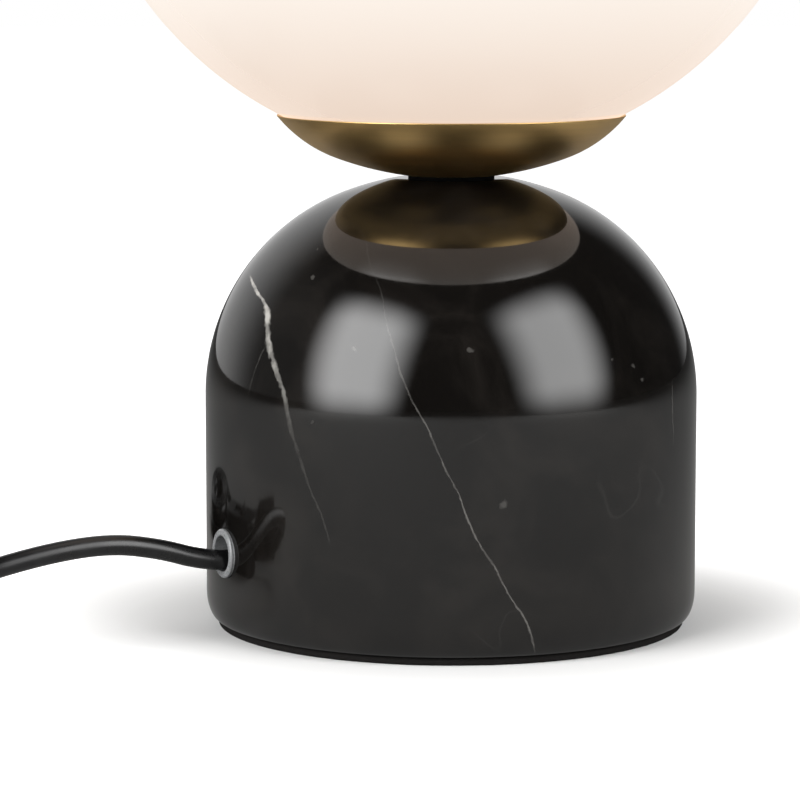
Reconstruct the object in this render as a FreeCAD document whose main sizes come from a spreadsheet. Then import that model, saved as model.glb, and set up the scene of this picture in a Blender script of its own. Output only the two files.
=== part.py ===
import FreeCAD, Part
import math
import os

import Sketcher

# A table lamp: an opal glass globe rests in a shallow brass dish on a bullet-shaped
# marble base.  Lengths are in millimetres.  The origin is the middle of the felt pad's
# underside, +Z is up, and the lamp is seen from -Y.  The cord leaves on the left.

# ---------------------------------------------------------------------------------
# Driving dimensions: name, value, what it measures
# ---------------------------------------------------------------------------------
SIZES = [
    ("base_radius", 65.8, "marble base, half its diameter"),
    ("shoulder_share", 0.88, "radius of the shoulder's curve over the base's radius"),
    ("crown_share", 1.231, "radius of the crown's flatter curve over the base's radius"),
    ("seat_height", 119.6, "height of the flat ground on the crown"),
    ("seat_flat_radius", 15.5, "flat ground on the crown, half its diameter"),
    ("foot_round", 1.0, "round on the marble's bottom edge"),
    ("pad_inset", 3.1, "how far the felt pad stays inside the marble's side"),
    ("pad_thickness", 3.0, "felt pad's thickness"),
    ("marble_wall", 19.8, "thickness of the marble round the hollow"),
    ("cavity_top", 66.0, "height of the hollow's ceiling"),
    ("tube_radius", 5.0, "threaded tube, half its thread diameter"),
    ("tube_bore", 3.7, "threaded tube, half its bore"),
    ("tube_tail", 6.0, "how far the threaded tube hangs below its lower nut"),
    ("boss_height", 5.7, "height of the thread in the lampholder's cap"),
    ("thread_gap", 0.05, "gap between the tube and what is screwed on it"),
    ("bore_gap", 0.5, "gap between the tube and the marble's bore"),
    ("fit_gap", 0.1, "gap round a piece that is pushed into another"),
    ("running_gap", 0.3, "gap between pieces that move past each other"),
    ("under_washer_radius", 17.0, "steel washer under the marble, half its diameter"),
    ("under_washer_thickness", 2.0, "steel washer's thickness"),
    ("nut_width", 14.0, "width across the flats of both nuts"),
    ("nut_height", 4.0, "height of both nuts"),
    ("grip_radius", 8.0, "cord grip, half its diameter"),
    ("grip_height", 13.0, "cord grip's height"),
    ("grip_thread_depth", 5.0, "depth of the thread in the cord grip"),
    ("grip_screw_radius", 1.5, "cord grip's nylon screw, half its diameter"),
    ("exit_angle", 64.0, "cord hole's angle from the front, towards the left"),
    ("exit_height", 23.0, "height of the cord hole's axis"),
    ("ring_radius", 6.55, "grommet's collar, half its diameter"),
    ("ring_bore", 4.77, "grommet's bore, half its diameter"),
    ("ring_stand", 1.2, "how far the grommet's collar stands out"),
    ("ring_sleeve_radius", 5.6, "grommet's sleeve, half its diameter"),
    ("ring_sleeve_length", 13.0, "length of the grommet's sleeve in the marble"),
    ("cord_diameter", 5.4, "diameter of the cord's sheath"),
    ("wire_diameter", 2.2, "diameter of one insulated wire"),
    ("seat_washer_radius", 11.5, "fibre washer between marble and dish"),
    ("seat_washer_thickness", 0.8, "fibre washer's thickness"),
    ("dish_flat_radius", 12.0, "flat underside of the dish, half its diameter"),
    ("dish_belly_radius", 88.8, "radius of the dish's bottom curve"),
    ("dish_turn_radius", 31.0, "distance from the axis where the cheek begins"),
    ("dish_cheek_radius", 36.0, "radius of the dish's side curve"),
    ("dish_rim_radius", 46.4, "rim of the dish, half its diameter"),
    ("dish_wall", 1.2, "thickness of the dish's brass"),
    ("dish_washer_radius", 11.0, "washer in the dish, half its diameter"),
    ("dish_washer_thickness", 1.5, "thickness of the washer in the dish"),
    ("gasket_section", 2.0, "diameter of the silicone ring's section"),
    ("spider_thickness", 1.2, "thickness of the three-armed plate"),
    ("spider_hub_radius", 14.0, "hub of the three-armed plate"),
    ("spider_reach", 30.6, "distance from the axis to the end of an arm"),
    ("arm_width", 9.0, "width of an arm"),
    ("clip_width", 8.0, "width of a spring clip"),
    ("clip_thickness", 0.5, "thickness of a spring clip"),
    ("clip_foot", 21.6, "distance from the axis to the inner end of a clip"),
    ("rivet_radius", 1.2, "rivet's shank, half its diameter"),
    ("rivet_head_radius", 2.2, "rivet's head, half its diameter"),
    ("rivet_head_height", 0.8, "height of a rivet's head"),
    ("rivet_distance", 25.6, "distance from the axis to a rivet"),
    ("globe_radius", 100.0, "glass globe, half its diameter"),
    ("globe_wall", 3.0, "thickness of the glass"),
    ("lip_height", 0.34, "height of the dish's lip above its side curve"),
    ("mouth_radius", 34.0, "mouth of the globe, half its diameter"),
    ("mouth_round", 1.1, "round on the mouth's two edges"),
    ("holder_radius", 20.0, "lampholder, half its diameter"),
    ("holder_wall", 2.0, "lampholder's wall"),
    ("cap_height", 24.0, "height of the lampholder's cap"),
    ("cap_floor", 2.5, "thickness of the cap's floor"),
    ("cap_boss_radius", 8.0, "boss round the thread in the cap"),
    ("spigot_depth", 5.0, "depth of the skirt's spigot inside the cap"),
    ("skirt_height", 33.0, "height of the lampholder's skirt above the cap"),
    ("skirt_opening", 15.0, "opening at the top of the skirt, half its diameter"),
    ("core_thickness", 7.0, "thickness of the ceramic core"),
    ("core_drop", 2.0, "how far the core hangs below the skirt's edge"),
    ("shell_bore", 13.5, "threaded shell, half its inner diameter"),
    ("shell_wall", 0.45, "threaded shell's wall"),
    ("shell_height", 24.5, "threaded shell's height"),
    ("shell_flange_bore", 9.0, "hole in the threaded shell's bottom flange"),
    ("thread_pitch", 3.629, "pitch of the lamp thread"),
    ("terminal_width", 6.0, "width of a terminal block"),
    ("terminal_height", 4.5, "height of a terminal block"),
    ("live_terminal", 7.0, "distance from the axis to the live terminal"),
    ("neutral_terminal", 11.0, "distance from the axis to the neutral terminal"),
    ("stem_radius", 1.2, "terminal's stem, half its diameter"),
    ("bulb_cap_radius", 13.1, "bulb's screw cap, half its diameter"),
    ("bulb_cap_height", 21.5, "height of the bulb's screw cap"),
    ("insulator_height", 2.5, "height of the bulb's insulator"),
    ("pip_radius", 4.5, "bulb's end contact, half its diameter"),
    ("pip_height", 0.8, "height of the bulb's end contact"),
    ("bulb_radius", 30.0, "bulb's diffuser, half its diameter"),
    ("bulb_wall", 1.5, "wall of the bulb's housing and diffuser"),
    ("bulb_rim_radius", 26.5, "top of the bulb's housing, half its diameter"),
    ("housing_height", 32.5, "height of the bulb's housing"),
    ("housing_curve", 62.0, "radius of the housing's flank"),
    ("diffuser_height", 50.5, "height of the bulb's diffuser"),
    ("led_board_radius", 24.4, "LED board, half its diameter"),
    ("led_board_thickness", 1.2, "LED board's thickness"),
    ("led_ring_radius", 15.0, "circle on which the LEDs stand"),
    ("led_width", 3.0, "width of an LED"),
    ("led_height", 0.7, "height of an LED"),
    ("driver_width", 17.0, "width of the driver board"),
    ("driver_height", 24.0, "height of the driver board"),
    ("driver_thickness", 1.6, "thickness of the driver board"),
    ("switch_x", -159.0, "cord switch, its middle to the left of the axis"),
    ("switch_front", -16.5, "front end of the cord switch"),
    ("switch_length", 62.0, "length of the cord switch"),
    ("switch_half_width", 13.0, "half the width of the cord switch"),
    ("switch_split", 6.5, "height of the joint between the switch's halves"),
    ("switch_height", 17.0, "height of the cord switch"),
    ("switch_wall", 1.8, "wall of the cord switch"),
    ("switch_edge", 2.0, "round on the cord switch's edges"),
    ("rocker_half_length", 10.2, "half the length of the rocker"),
    ("rocker_half_width", 6.0, "half the width of the rocker"),
    ("rocker_waist", 3.4, "rocker's top above its pin, in the middle"),
    ("rocker_horn", 5.2, "rocker's top above its pin, at the ends"),
    ("rocker_drop", 3.6, "rocker's underside below its pin"),
    ("rocker_pin_height", 12.8, "height of the rocker's pin"),
    ("rocker_pin_radius", 1.0, "rocker's pin, half its diameter"),
    ("rocker_tilt", 10.0, "tilt of the rocker at rest"),
    ("rocker_opening", 11.4, "half the length of the rocker's opening"),
    ("ear_thickness", 1.8, "thickness of the ears that hold the pin"),
    ("post_radius", 3.0, "switch's screw posts, half their diameter"),
    ("post_distance", 21.0, "distance from the switch's middle to a post"),
    ("switch_screw_radius", 1.3, "switch's screws, half their diameter"),
    ("switch_screw_head", 2.4, "heads of the switch's screws, half their diameter"),
    ("contact_width", 5.0, "width of the switch's contacts"),
    ("coil_x", -182.5, "middle of the coil, to the left of the axis"),
    ("coil_y", 117.5, "middle of the coil, behind the axis"),
    ("coil_radius", 32.4, "mean radius of the coil's turns"),
    ("coil_pitch", 6.1, "distance between turns beside each other"),
    ("coil_layer", 6.0, "distance between the coil's two layers"),
    ("coil_turns", 3.34, "turns in each of the coil's two layers"),
    ("coil_start", -30.0, "direction in which the cord joins the coil"),
    ("plug_x", -203.0, "plug, its middle to the left of the axis"),
    ("plug_back", -14.0, "back of the plug's body"),
    ("plug_length", 35.0, "length of the plug's body"),
    ("plug_width", 35.3, "width of the plug's face"),
    ("plug_neck", 14.0, "width of the plug's body at its back"),
    ("plug_height", 13.7, "height of the plug's body"),
    ("plug_edge", 1.6, "round on the plug's edges"),
    ("pin_radius", 2.0, "plug's pins, half their diameter"),
    ("pin_spacing", 18.6, "distance between the plug's pins"),
    ("pin_length", 19.0, "length of the plug's pins"),
    ("pin_root", 8.0, "length of a pin inside the plug"),
    ("sleeve_length", 10.0, "length of the insulating sleeve on a pin"),
    ("sleeve_wall", 0.4, "wall of the insulating sleeve on a pin"),
    ("relief_length", 25.0, "length of the plug's strain relief"),
    ("relief_back_radius", 5.6, "strain relief at the plug, half its diameter"),
    ("relief_tip_radius", 3.8, "strain relief at its tip, half its diameter"),
]

COLUMN_NAME, COLUMN_VALUE, COLUMN_NOTE = "A", "B", "C"
CLIP_COUNT = 3
FIRST_CLIP_ANGLE = 90.0
LED_COUNT = 10

doc = FreeCAD.newDocument("globe_table_lamp")
sheet = doc.addObject("Spreadsheet::Sheet", "Sizes")
for row, (alias, number, note) in enumerate(SIZES, start=1):
    sheet.set(f"{COLUMN_NAME}{row}", alias)
    sheet.set(f"{COLUMN_VALUE}{row}", str(number))
    sheet.set(f"{COLUMN_NOTE}{row}", note)
    sheet.setAlias(f"{COLUMN_VALUE}{row}", alias)
doc.recompute()


class Size:
    """A length that carries the sheet's formula and its present value."""

    def __init__(self, formula, number):
        self.formula = formula
        self.number = number

    def join(self, sign, other, number):
        return Size(f"({self.formula} {sign} {as_size(other).formula})", number)

    def __add__(self, other):
        return self.join("+", other, self.number + as_size(other).number)

    def __sub__(self, other):
        return self.join("-", other, self.number - as_size(other).number)

    def __mul__(self, other):
        return self.join("*", other, self.number * as_size(other).number)

    def __truediv__(self, other):
        return self.join("/", other, self.number / as_size(other).number)

    def __neg__(self):
        return Size(f"(0 - {self.formula})", -self.number)

    def __float__(self):
        return float(self.number)


def as_size(number):
    return number if isinstance(number, Size) else Size(repr(float(number)), float(number))


def root(size):
    return Size(f"sqrt({size.formula})", math.sqrt(size.number))


def size(alias):
    return Size(f"Sizes.{alias}", float(sheet.get(alias)))


def other_side(radius, leg):
    """The second leg of a right triangle with this long side."""
    return root(radius * radius - leg * leg)


NOTHING = as_size(0)

# ---------------------------------------------------------------------------------
# Makers: how a piece is turned, cut and put in its place
# ---------------------------------------------------------------------------------
finished = []


def finish(item, label):
    """Give a piece its name and put it on the list of pieces."""
    item.Label = label
    finished.append(item)
    return item


def bind(item, field, length):
    """Tie a size of a piece to the sheet."""
    length = as_size(length)
    if "." not in field:
        setattr(item, field, length.number)
    item.setExpression(field, length.formula)


def origin_plane(body, role):
    return next(plane for plane in body.Origin.OriginFeatures if plane.Role == role)


def new_sketch(body, name, role):
    sketch = body.newObject("Sketcher::SketchObject", name)
    sketch.AttachmentSupport = (origin_plane(body, role), [""])
    sketch.MapMode = "FlatFace"
    return sketch


def fix(sketch, kind, geometry, position, length):
    """Hold one coordinate of a point at a length from the origin."""
    if length.number == 0:
        axis = -2 if kind == "DistanceX" else -1
        sketch.addConstraint(Sketcher.Constraint("PointOnObject", geometry, position, axis))
        return
    index = sketch.addConstraint(
        Sketcher.Constraint(kind, -1, 1, geometry, position, length.number)
    )
    sketch.setExpression(f"Constraints[{index}]", length.formula)


def arc_between(start, end, middle, turn):
    """An arc about a middle, running left (turn 1) or right (turn -1)."""
    first = math.atan2(start.y - middle.y, start.x - middle.x)
    last = math.atan2(end.y - middle.y, end.x - middle.x)
    circle = Part.Circle(middle, FreeCAD.Vector(0, 0, 1), (start - middle).Length)
    if turn < 0:
        first, last = last, first
    if last <= first:
        last += 2 * math.pi
    return Part.ArcOfCircle(circle, first, last)


def outline(sketch, corners):
    """Draw a closed outline and tie each corner to the sheet.

    A corner is (x, y), or (x, y, (middle x, middle y, turn)) where the side that
    starts there is an arc about a middle.
    """
    spots = [FreeCAD.Vector(float(corner[0]), float(corner[1]), 0) for corner in corners]
    count = len(corners)
    ends = []
    for index, corner in enumerate(corners):
        start, end = spots[index], spots[(index + 1) % count]
        if len(corner) == 2:
            sketch.addGeometry(Part.LineSegment(start, end), False)
            ends.append((1, 2))
        else:
            middle_x, middle_y, turn = corner[2]
            middle = FreeCAD.Vector(float(middle_x), float(middle_y), 0)
            sketch.addGeometry(arc_between(start, end, middle, turn), False)
            ends.append((1, 2) if turn > 0 else (2, 1))
    for index in range(count):
        after = (index + 1) % count
        sketch.addConstraint(
            Sketcher.Constraint("Coincident", index, ends[index][1], after, ends[after][0])
        )
    for index, corner in enumerate(corners):
        before = corners[index - 1]
        hold_x, hold_y = True, True
        if len(before) == 3:
            reach_x = abs(spots[index].x - float(before[2][0]))
            reach_y = abs(spots[index].y - float(before[2][1]))
            hold_x, hold_y = reach_x <= reach_y, reach_x > reach_y
        if hold_x:
            fix(sketch, "DistanceX", index, ends[index][0], as_size(corner[0]))
        if hold_y:
            fix(sketch, "DistanceY", index, ends[index][0], as_size(corner[1]))
        if len(corner) == 3:
            fix(sketch, "DistanceX", index, 3, as_size(corner[2][0]))
            fix(sketch, "DistanceY", index, 3, as_size(corner[2][1]))


def turned(name, corners):
    """A body turned about Z from its half section: x is the radius, y the height."""
    body = doc.addObject("PartDesign::Body", name)
    sketch = new_sketch(body, f"{name}_section", "XZ_Plane")
    outline(sketch, corners)
    turn = body.newObject("PartDesign::Revolution", f"{name}_turn")
    turn.Profile = sketch
    turn.ReferenceAxis = (sketch, ["V_Axis"])
    turn.Angle = 360
    sketch.Visibility = False
    body.Tip = turn
    return body


def ring_corners(inner, outer, bottom, top):
    return [(inner, bottom), (outer, bottom), (outer, top), (inner, top)]


def turned_ring(name, inner, outer, bottom, top):
    return turned(name, ring_corners(inner, outer, bottom, top))


def extruded(name, role, corners, length, both_ways=True):
    """A body with a drawn outline, as thick as a length."""
    body = doc.addObject("PartDesign::Body", name)
    sketch = new_sketch(body, f"{name}_outline", role)
    outline(sketch, corners)
    pad = body.newObject("PartDesign::Pad", f"{name}_thickness")
    pad.Profile = sketch
    pad.Midplane = both_ways
    bind(pad, "Length", length)
    body.Tip = pad
    return body


def pocket(body, name, role, corners, height, start):
    """Cut a drawn outline out of a body, upwards from a start height."""
    sketch = new_sketch(body, f"{name}_outline", role)
    outline(sketch, corners)
    sketch.setExpression("AttachmentOffset.Base.z", as_size(start).formula)
    cut_out = body.newObject("PartDesign::Pocket", name)
    cut_out.Profile = sketch
    cut_out.Reversed = True
    bind(cut_out, "Length", height)
    body.Tip = cut_out
    return cut_out


def rounded(body, name, wanted, radius):
    """Round the edges of a body that a test picks."""
    doc.recompute()
    base = body.Tip
    picked = [
        f"Edge{number}"
        for number, edge in enumerate(base.Shape.Edges, start=1)
        if wanted(edge)
    ]
    fillet = body.newObject("PartDesign::Fillet", name)
    fillet.Base = (base, picked)
    bind(fillet, "Radius", radius)
    body.Tip = fillet
    return fillet


def place(item, x, y, z, rotation=FreeCAD.Rotation()):
    """Put a piece at a place that stays tied to the sheet."""
    x, y, z = as_size(x), as_size(y), as_size(z)
    item.Placement = FreeCAD.Placement(
        FreeCAD.Vector(x.number, y.number, z.number), rotation
    )
    for axis, length in zip("xyz", (x, y, z)):
        item.setExpression(f"Placement.Base.{axis}", length.formula)
    return item


ALONG_X = FreeCAD.Rotation(FreeCAD.Vector(0, 0, 1), FreeCAD.Vector(1, 0, 0))
ALONG_Y = FreeCAD.Rotation(FreeCAD.Vector(0, 0, 1), FreeCAD.Vector(0, 1, 0))
ALONG_Z = FreeCAD.Rotation()


def rod(name, radius, height, x=0, y=0, z=0, rotation=ALONG_Z):
    cylinder = doc.addObject("Part::Cylinder", name)
    bind(cylinder, "Radius", radius)
    bind(cylinder, "Height", height)
    return place(cylinder, x, y, z, rotation)


def block(name, length, width, height, x, y, z):
    """A box whose middle lies at x and y and whose underside is at z."""
    box = doc.addObject("Part::Box", name)
    bind(box, "Length", length)
    bind(box, "Width", width)
    bind(box, "Height", height)
    return place(box, as_size(x) - as_size(length) / 2, as_size(y) - as_size(width) / 2, z)


def ball(name, radius, z):
    sphere = doc.addObject("Part::Sphere", name)
    bind(sphere, "Radius", radius)
    return place(sphere, 0, 0, z)


def without(name, base, *tools):
    """The base with each tool's shape cut away."""
    for number, tool in enumerate(tools, start=1):
        cut = doc.addObject("Part::Cut", f"{name}_{number}")
        cut.Base = base
        cut.Tool = tool
        base = cut
    return base


def together(name, items):
    """Pieces joined where they touch; pieces that lie apart stay separate solids."""
    group = doc.addObject("Part::MultiFuse", name)
    group.Shapes = items
    return group


def hexagon(width):
    """Corners of a hexagon that is as wide as a length across its flats."""
    corner = width / 2 / as_size(math.cos(math.pi / 6))
    return [
        (
            corner * math.cos(math.radians(angle)),
            corner * math.sin(math.radians(angle)),
        )
        for angle in range(0, 360, 60)
    ]


def hex_nut(name, bottom):
    """A nut with a chamfered crown, screwed on the threaded tube."""
    width, height = size("nut_width"), size("nut_height")
    body = extruded(name, "XY_Plane", hexagon(width), height, both_ways=False)
    hex_part = place(body, 0, 0, bottom)
    crown = turned(
        f"{name}_crown",
        [
            (size("tube_radius") + size("thread_gap"), bottom),
            (width / 2 + CROWN_SPREAD, bottom),
            (width / 2 + CROWN_SPREAD, bottom + height - CROWN_SPREAD / 2),
            (width / 2, bottom + height),
            (size("tube_radius") + size("thread_gap"), bottom + height),
        ],
    )
    common = doc.addObject("Part::Common", f"{name}_hexagon")
    common.Base = hex_part
    common.Tool = crown
    return common


CROWN_SPREAD = as_size(1.0)


def strip(name, path, thickness, width):
    """A bent metal strip: a path in the XZ plane with a thickness and a width."""
    half = thickness / 2
    spots = [FreeCAD.Vector(float(x), 0, float(z)) for x, z in path]
    left, right = [], []
    for index, spot in enumerate(spots):
        before = (spot - spots[index - 1]).normalize() if index else None
        after = (spots[index + 1] - spot).normalize() if index + 1 < len(spots) else None
        before, after = before or after, after or before
        normal_before = FreeCAD.Vector(-before.z, 0, before.x)
        normal_after = FreeCAD.Vector(-after.z, 0, after.x)
        mitre = (normal_before + normal_after) / (1 + normal_before.dot(normal_after))
        x, z = path[index]
        left.append((as_size(x) + half * mitre.x, as_size(z) + half * mitre.z))
        right.append((as_size(x) - half * mitre.x, as_size(z) - half * mitre.z))
    return extruded(name, "XZ_Plane", left + right[::-1], width)


# ---------------------------------------------------------------------------------
# Heights of the stack, from the felt pad upwards
# ---------------------------------------------------------------------------------
pad_top = size("pad_thickness")
pad_radius = size("base_radius") - size("pad_inset")
cavity_radius = size("base_radius") - size("marble_wall")
nut_under = size("cavity_top") - size("under_washer_thickness") - size("nut_height")
tube_bottom = nut_under - size("tube_tail")
seat = size("seat_height")
dish_bottom = seat + size("seat_washer_thickness")
dish_floor = dish_bottom + size("dish_wall")
nut_seat = dish_floor + size("dish_washer_thickness")
spider_seat = nut_seat + size("nut_height")
holder_seat = spider_seat + size("spider_thickness")
tube_top = holder_seat + size("boss_height")
cap_top = holder_seat + size("cap_height")
core_bottom = cap_top - size("core_drop")
core_top = core_bottom + size("core_thickness")
skirt_top = cap_top + size("skirt_height")
tongue_height = as_size(1.0)
pip_bottom = core_top + tongue_height + size("running_gap")
insulator_bottom = pip_bottom + size("pip_height")
bulb_cap_bottom = insulator_bottom + size("insulator_height")
housing_bottom = bulb_cap_bottom + size("bulb_cap_height")
housing_top = housing_bottom + size("housing_height")
bulb_top = housing_top + size("diffuser_height")



def dish_centres():
    """Middles of the belly's and the cheek's arcs, in the half section."""
    belly, cheek = size("dish_belly_radius"), size("dish_cheek_radius")
    belly_z = dish_bottom + other_side(belly, size("dish_flat_radius"))
    turn = size("dish_turn_radius")
    turn_z = belly_z - other_side(belly, turn)
    cheek_x = turn - turn * cheek / belly
    cheek_z = turn_z + (belly_z - turn_z) * cheek / belly
    return belly_z, turn_z, cheek_x, cheek_z


def dish_rim_height():
    """Height at which the dish's side curve reaches its rim."""
    belly_z, turn_z, cheek_x, cheek_z = dish_centres()
    return cheek_z - other_side(size("dish_cheek_radius"), size("dish_rim_radius") - cheek_x)


globe_centre = (
    dish_rim_height()
    + size("lip_height")
    + other_side(size("globe_radius") + size("running_gap"), size("dish_rim_radius"))
)
inner_globe_radius = size("globe_radius") - size("globe_wall")
mouth_outer_edge = globe_centre - other_side(size("globe_radius"), size("mouth_radius"))
mouth_inner_edge = globe_centre - other_side(inner_globe_radius, size("mouth_radius"))


# ---------------------------------------------------------------------------------
# Base: marble, pad, grommet, threaded tube and what holds them
# ---------------------------------------------------------------------------------
def at_exit(item):
    """Turn a piece that is made along X so that it points out of the cord hole."""
    angle = -90 - float(size("exit_angle"))
    rotation = FreeCAD.Rotation(FreeCAD.Vector(0, 0, 1), angle)
    item.Placement = FreeCAD.Placement(
        FreeCAD.Vector(0, 0, float(size("exit_height"))), rotation
    )
    item.setExpression("Placement.Base.z", size("exit_height").formula)
    return item


def cord_hole(name, radius, start, length):
    """A rod along the cord hole's axis, from a distance out from the lamp's axis."""
    body = doc.addObject("PartDesign::Body", name)
    sketch = new_sketch(body, f"{name}_circle", "YZ_Plane")
    sketch.addGeometry(Part.Circle(FreeCAD.Vector(), FreeCAD.Vector(0, 0, 1), float(radius)))
    sketch.addConstraint(Sketcher.Constraint("Coincident", 0, 3, -1, 1))
    index = sketch.addConstraint(Sketcher.Constraint("Radius", 0, float(radius)))
    sketch.setExpression(f"Constraints[{index}]", radius.formula)
    sketch.setExpression("AttachmentOffset.Base.z", as_size(start).formula)
    pad = body.newObject("PartDesign::Pad", f"{name}_length")
    pad.Profile = sketch
    bind(pad, "Length", length)
    body.Tip = pad
    return at_exit(body)


def make_marble_base():
    """Upright side, shoulder arc, flatter crown arc and a flat ground on top."""
    radius, seat_edge = size("base_radius"), size("seat_flat_radius")
    shoulder = radius * size("shoulder_share")
    crown = radius * size("crown_share")
    shoulder_x = radius - shoulder
    crown_centre = seat - other_side(crown, seat_edge)
    side_height = crown_centre + other_side(crown - shoulder, shoulder_x)
    share = crown / (crown - shoulder)
    join_x = shoulder_x * share
    join_z = crown_centre + (side_height - crown_centre) * share
    bore = size("tube_radius") + size("bore_gap")
    foot = size("foot_round")
    stone = turned(
        "marble_body",
        [
            (cavity_radius, pad_top),
            (radius - foot, pad_top, (radius - foot, pad_top + foot, 1)),
            (radius, pad_top + foot),
            (radius, side_height, (shoulder_x, side_height, 1)),
            (join_x, join_z, (NOTHING, crown_centre, 1)),
            (seat_edge, seat),
            (bore, seat),
            (bore, size("cavity_top")),
            (cavity_radius, size("cavity_top")),
        ],
    )
    hole = cord_hole(
        "marble_cord_hole",
        size("ring_sleeve_radius") + size("fit_gap"),
        cavity_radius / 2,
        radius,
    )
    return without("marble_base", stone, hole)


def make_base_pad():
    return turned_ring("base_pad", NOTHING, pad_radius, NOTHING, pad_top)


def make_cable_grommet():
    """A collar outside the marble and a sleeve in its hole."""
    outer_face = size("base_radius") + size("ring_stand")
    collar = cord_hole(
        "grommet_collar", size("ring_radius"), outer_face - COLLAR_BLANK, COLLAR_BLANK
    )
    marble_side = rod("grommet_seat", size("base_radius") + size("thread_gap"), as_size(60))
    collar_cut = without("grommet_collar_cut", collar, marble_side)
    sleeve = cord_hole(
        "grommet_sleeve",
        size("ring_sleeve_radius"),
        size("base_radius") - size("ring_sleeve_length"),
        size("ring_sleeve_length") + size("ring_stand"),
    )
    bore = cord_hole("grommet_bore", size("ring_bore"), NOTHING, outer_face * 2)
    return without("cable_grommet", together("grommet_solid", [collar_cut, sleeve]), bore)


COLLAR_BLANK = as_size(4.0)


def make_threaded_tube():
    return turned_ring(
        "threaded_tube",
        size("tube_bore"),
        size("tube_radius"),
        tube_bottom,
        tube_top,
    )


def make_under_washer():
    top = size("cavity_top")
    return turned_ring(
        "base_washer",
        size("tube_radius") + size("thread_gap"),
        size("under_washer_radius"),
        top - size("under_washer_thickness"),
        top,
    )


def grip_bottom():
    return tube_bottom + size("grip_thread_depth") - size("grip_height")


def make_cord_grip():
    """Screwed on the tube's lower end; its screw presses on the cord's sheath."""
    bottom = grip_bottom()
    cord_bore = size("cord_diameter") / 2 + size("fit_gap")
    thread_bore = size("tube_radius") + size("thread_gap")
    outer = size("grip_radius")
    shell = turned(
        "cord_grip_body",
        [
            (cord_bore, bottom),
            (outer - GRIP_BEVEL, bottom),
            (outer, bottom + GRIP_BEVEL),
            (outer, tube_bottom + size("grip_thread_depth")),
            (thread_bore, tube_bottom + size("grip_thread_depth")),
            (thread_bore, tube_bottom),
            (cord_bore, tube_bottom),
        ],
    )
    hole = rod(
        "cord_grip_hole",
        size("grip_screw_radius") + size("thread_gap"),
        outer * 2,
        0,
        0,
        bottom + GRIP_SCREW_HEIGHT,
        ALONG_X,
    )
    return without("cord_grip", shell, hole)


GRIP_BEVEL = as_size(1.5)
GRIP_SCREW_HEIGHT = as_size(4.0)
GRIP_SCREW_HEAD = as_size(1.6)


def make_cord_grip_screw():
    height = grip_bottom() + GRIP_SCREW_HEIGHT
    start = size("cord_diameter") / 2 + size("fit_gap") / 2
    shank = rod(
        "cord_grip_shank",
        size("grip_screw_radius"),
        size("grip_radius") - start + GRIP_SCREW_HEAD / 4,
        start,
        0,
        height,
        ALONG_X,
    )
    head = rod(
        "cord_grip_head",
        size("grip_screw_radius") * 1.8,
        GRIP_SCREW_HEAD,
        size("grip_radius") + GRIP_SCREW_HEAD / 4,
        0,
        height,
        ALONG_X,
    )
    return together("cord_grip_screw", [shank, head])


# ---------------------------------------------------------------------------------
# Dish: brass bowl, washers, nut and the silicone ring under the glass
# ---------------------------------------------------------------------------------
def make_brass_dish():
    """Flat bottom, belly arc, cheek arc and a lip whose top follows the glass."""
    belly, cheek = size("dish_belly_radius"), size("dish_cheek_radius")
    wall, rim = size("dish_wall"), size("dish_rim_radius")
    belly_z, turn_z, cheek_x, cheek_z = dish_centres()
    inner_belly, inner_cheek = belly - wall, cheek - wall
    inner_flat = other_side(inner_belly, belly_z - dish_floor)
    inner_turn = size("dish_turn_radius") * inner_belly / belly
    inner_turn_z = belly_z - other_side(inner_belly, inner_turn)
    rim_z = dish_rim_height()
    inner_rim_z = cheek_z - other_side(inner_cheek, rim - wall - cheek_x)
    hole = size("tube_radius") + size("fit_gap")
    blank = turned(
        "dish_blank",
        [
            (hole, dish_bottom),
            (size("dish_flat_radius"), dish_bottom, (NOTHING, belly_z, 1)),
            (size("dish_turn_radius"), turn_z, (cheek_x, cheek_z, 1)),
            (rim, rim_z),
            (rim, inner_rim_z + wall),
            (rim - wall, inner_rim_z + wall),
            (rim - wall, inner_rim_z, (cheek_x, cheek_z, -1)),
            (inner_turn, inner_turn_z, (NOTHING, belly_z, -1)),
            (inner_flat, dish_floor),
            (hole, dish_floor),
        ],
    )
    glass_room = ball(
        "dish_glass_room", size("globe_radius") + size("running_gap"), globe_centre
    )
    return without("brass_dish", blank, glass_room)


def make_dish_seat_washer():
    return turned_ring(
        "dish_seat_washer",
        size("tube_radius") + size("fit_gap"),
        size("seat_washer_radius"),
        seat,
        dish_bottom,
    )


def make_dish_washer():
    return turned_ring(
        "dish_washer",
        size("tube_radius") + size("thread_gap"),
        size("dish_washer_radius"),
        dish_floor,
        nut_seat,
    )


def make_globe_gasket():
    """A ring that touches the dish's cheek on one side and the glass on the other."""
    belly_z, turn_z, cheek_x, cheek_z = (float(length) for length in dish_centres())
    section = float(size("gasket_section")) / 2
    gap = float(size("running_gap"))
    cheek_reach = float(size("dish_cheek_radius")) - float(size("dish_wall")) - section
    cheek_reach -= float(size("thread_gap"))
    glass_reach = float(size("globe_radius")) + section + gap
    cheek_middle = FreeCAD.Vector(cheek_x, 0, cheek_z)
    glass_middle = FreeCAD.Vector(0, 0, float(globe_centre))
    across = glass_middle - cheek_middle
    apart = across.Length
    along = (apart**2 + cheek_reach**2 - glass_reach**2) / (2 * apart)
    aside = math.sqrt(cheek_reach**2 - along**2)
    across.normalize()
    middle = cheek_middle + across * along + FreeCAD.Vector(across.z, 0, -across.x) * aside
    ring = doc.addObject("Part::Torus", "globe_gasket")
    ring.Radius1 = middle.x
    bind(ring, "Radius2", size("gasket_section") / 2)
    ring.Placement = FreeCAD.Placement(
        FreeCAD.Vector(0, 0, middle.z), FreeCAD.Rotation()
    )
    return ring


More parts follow.
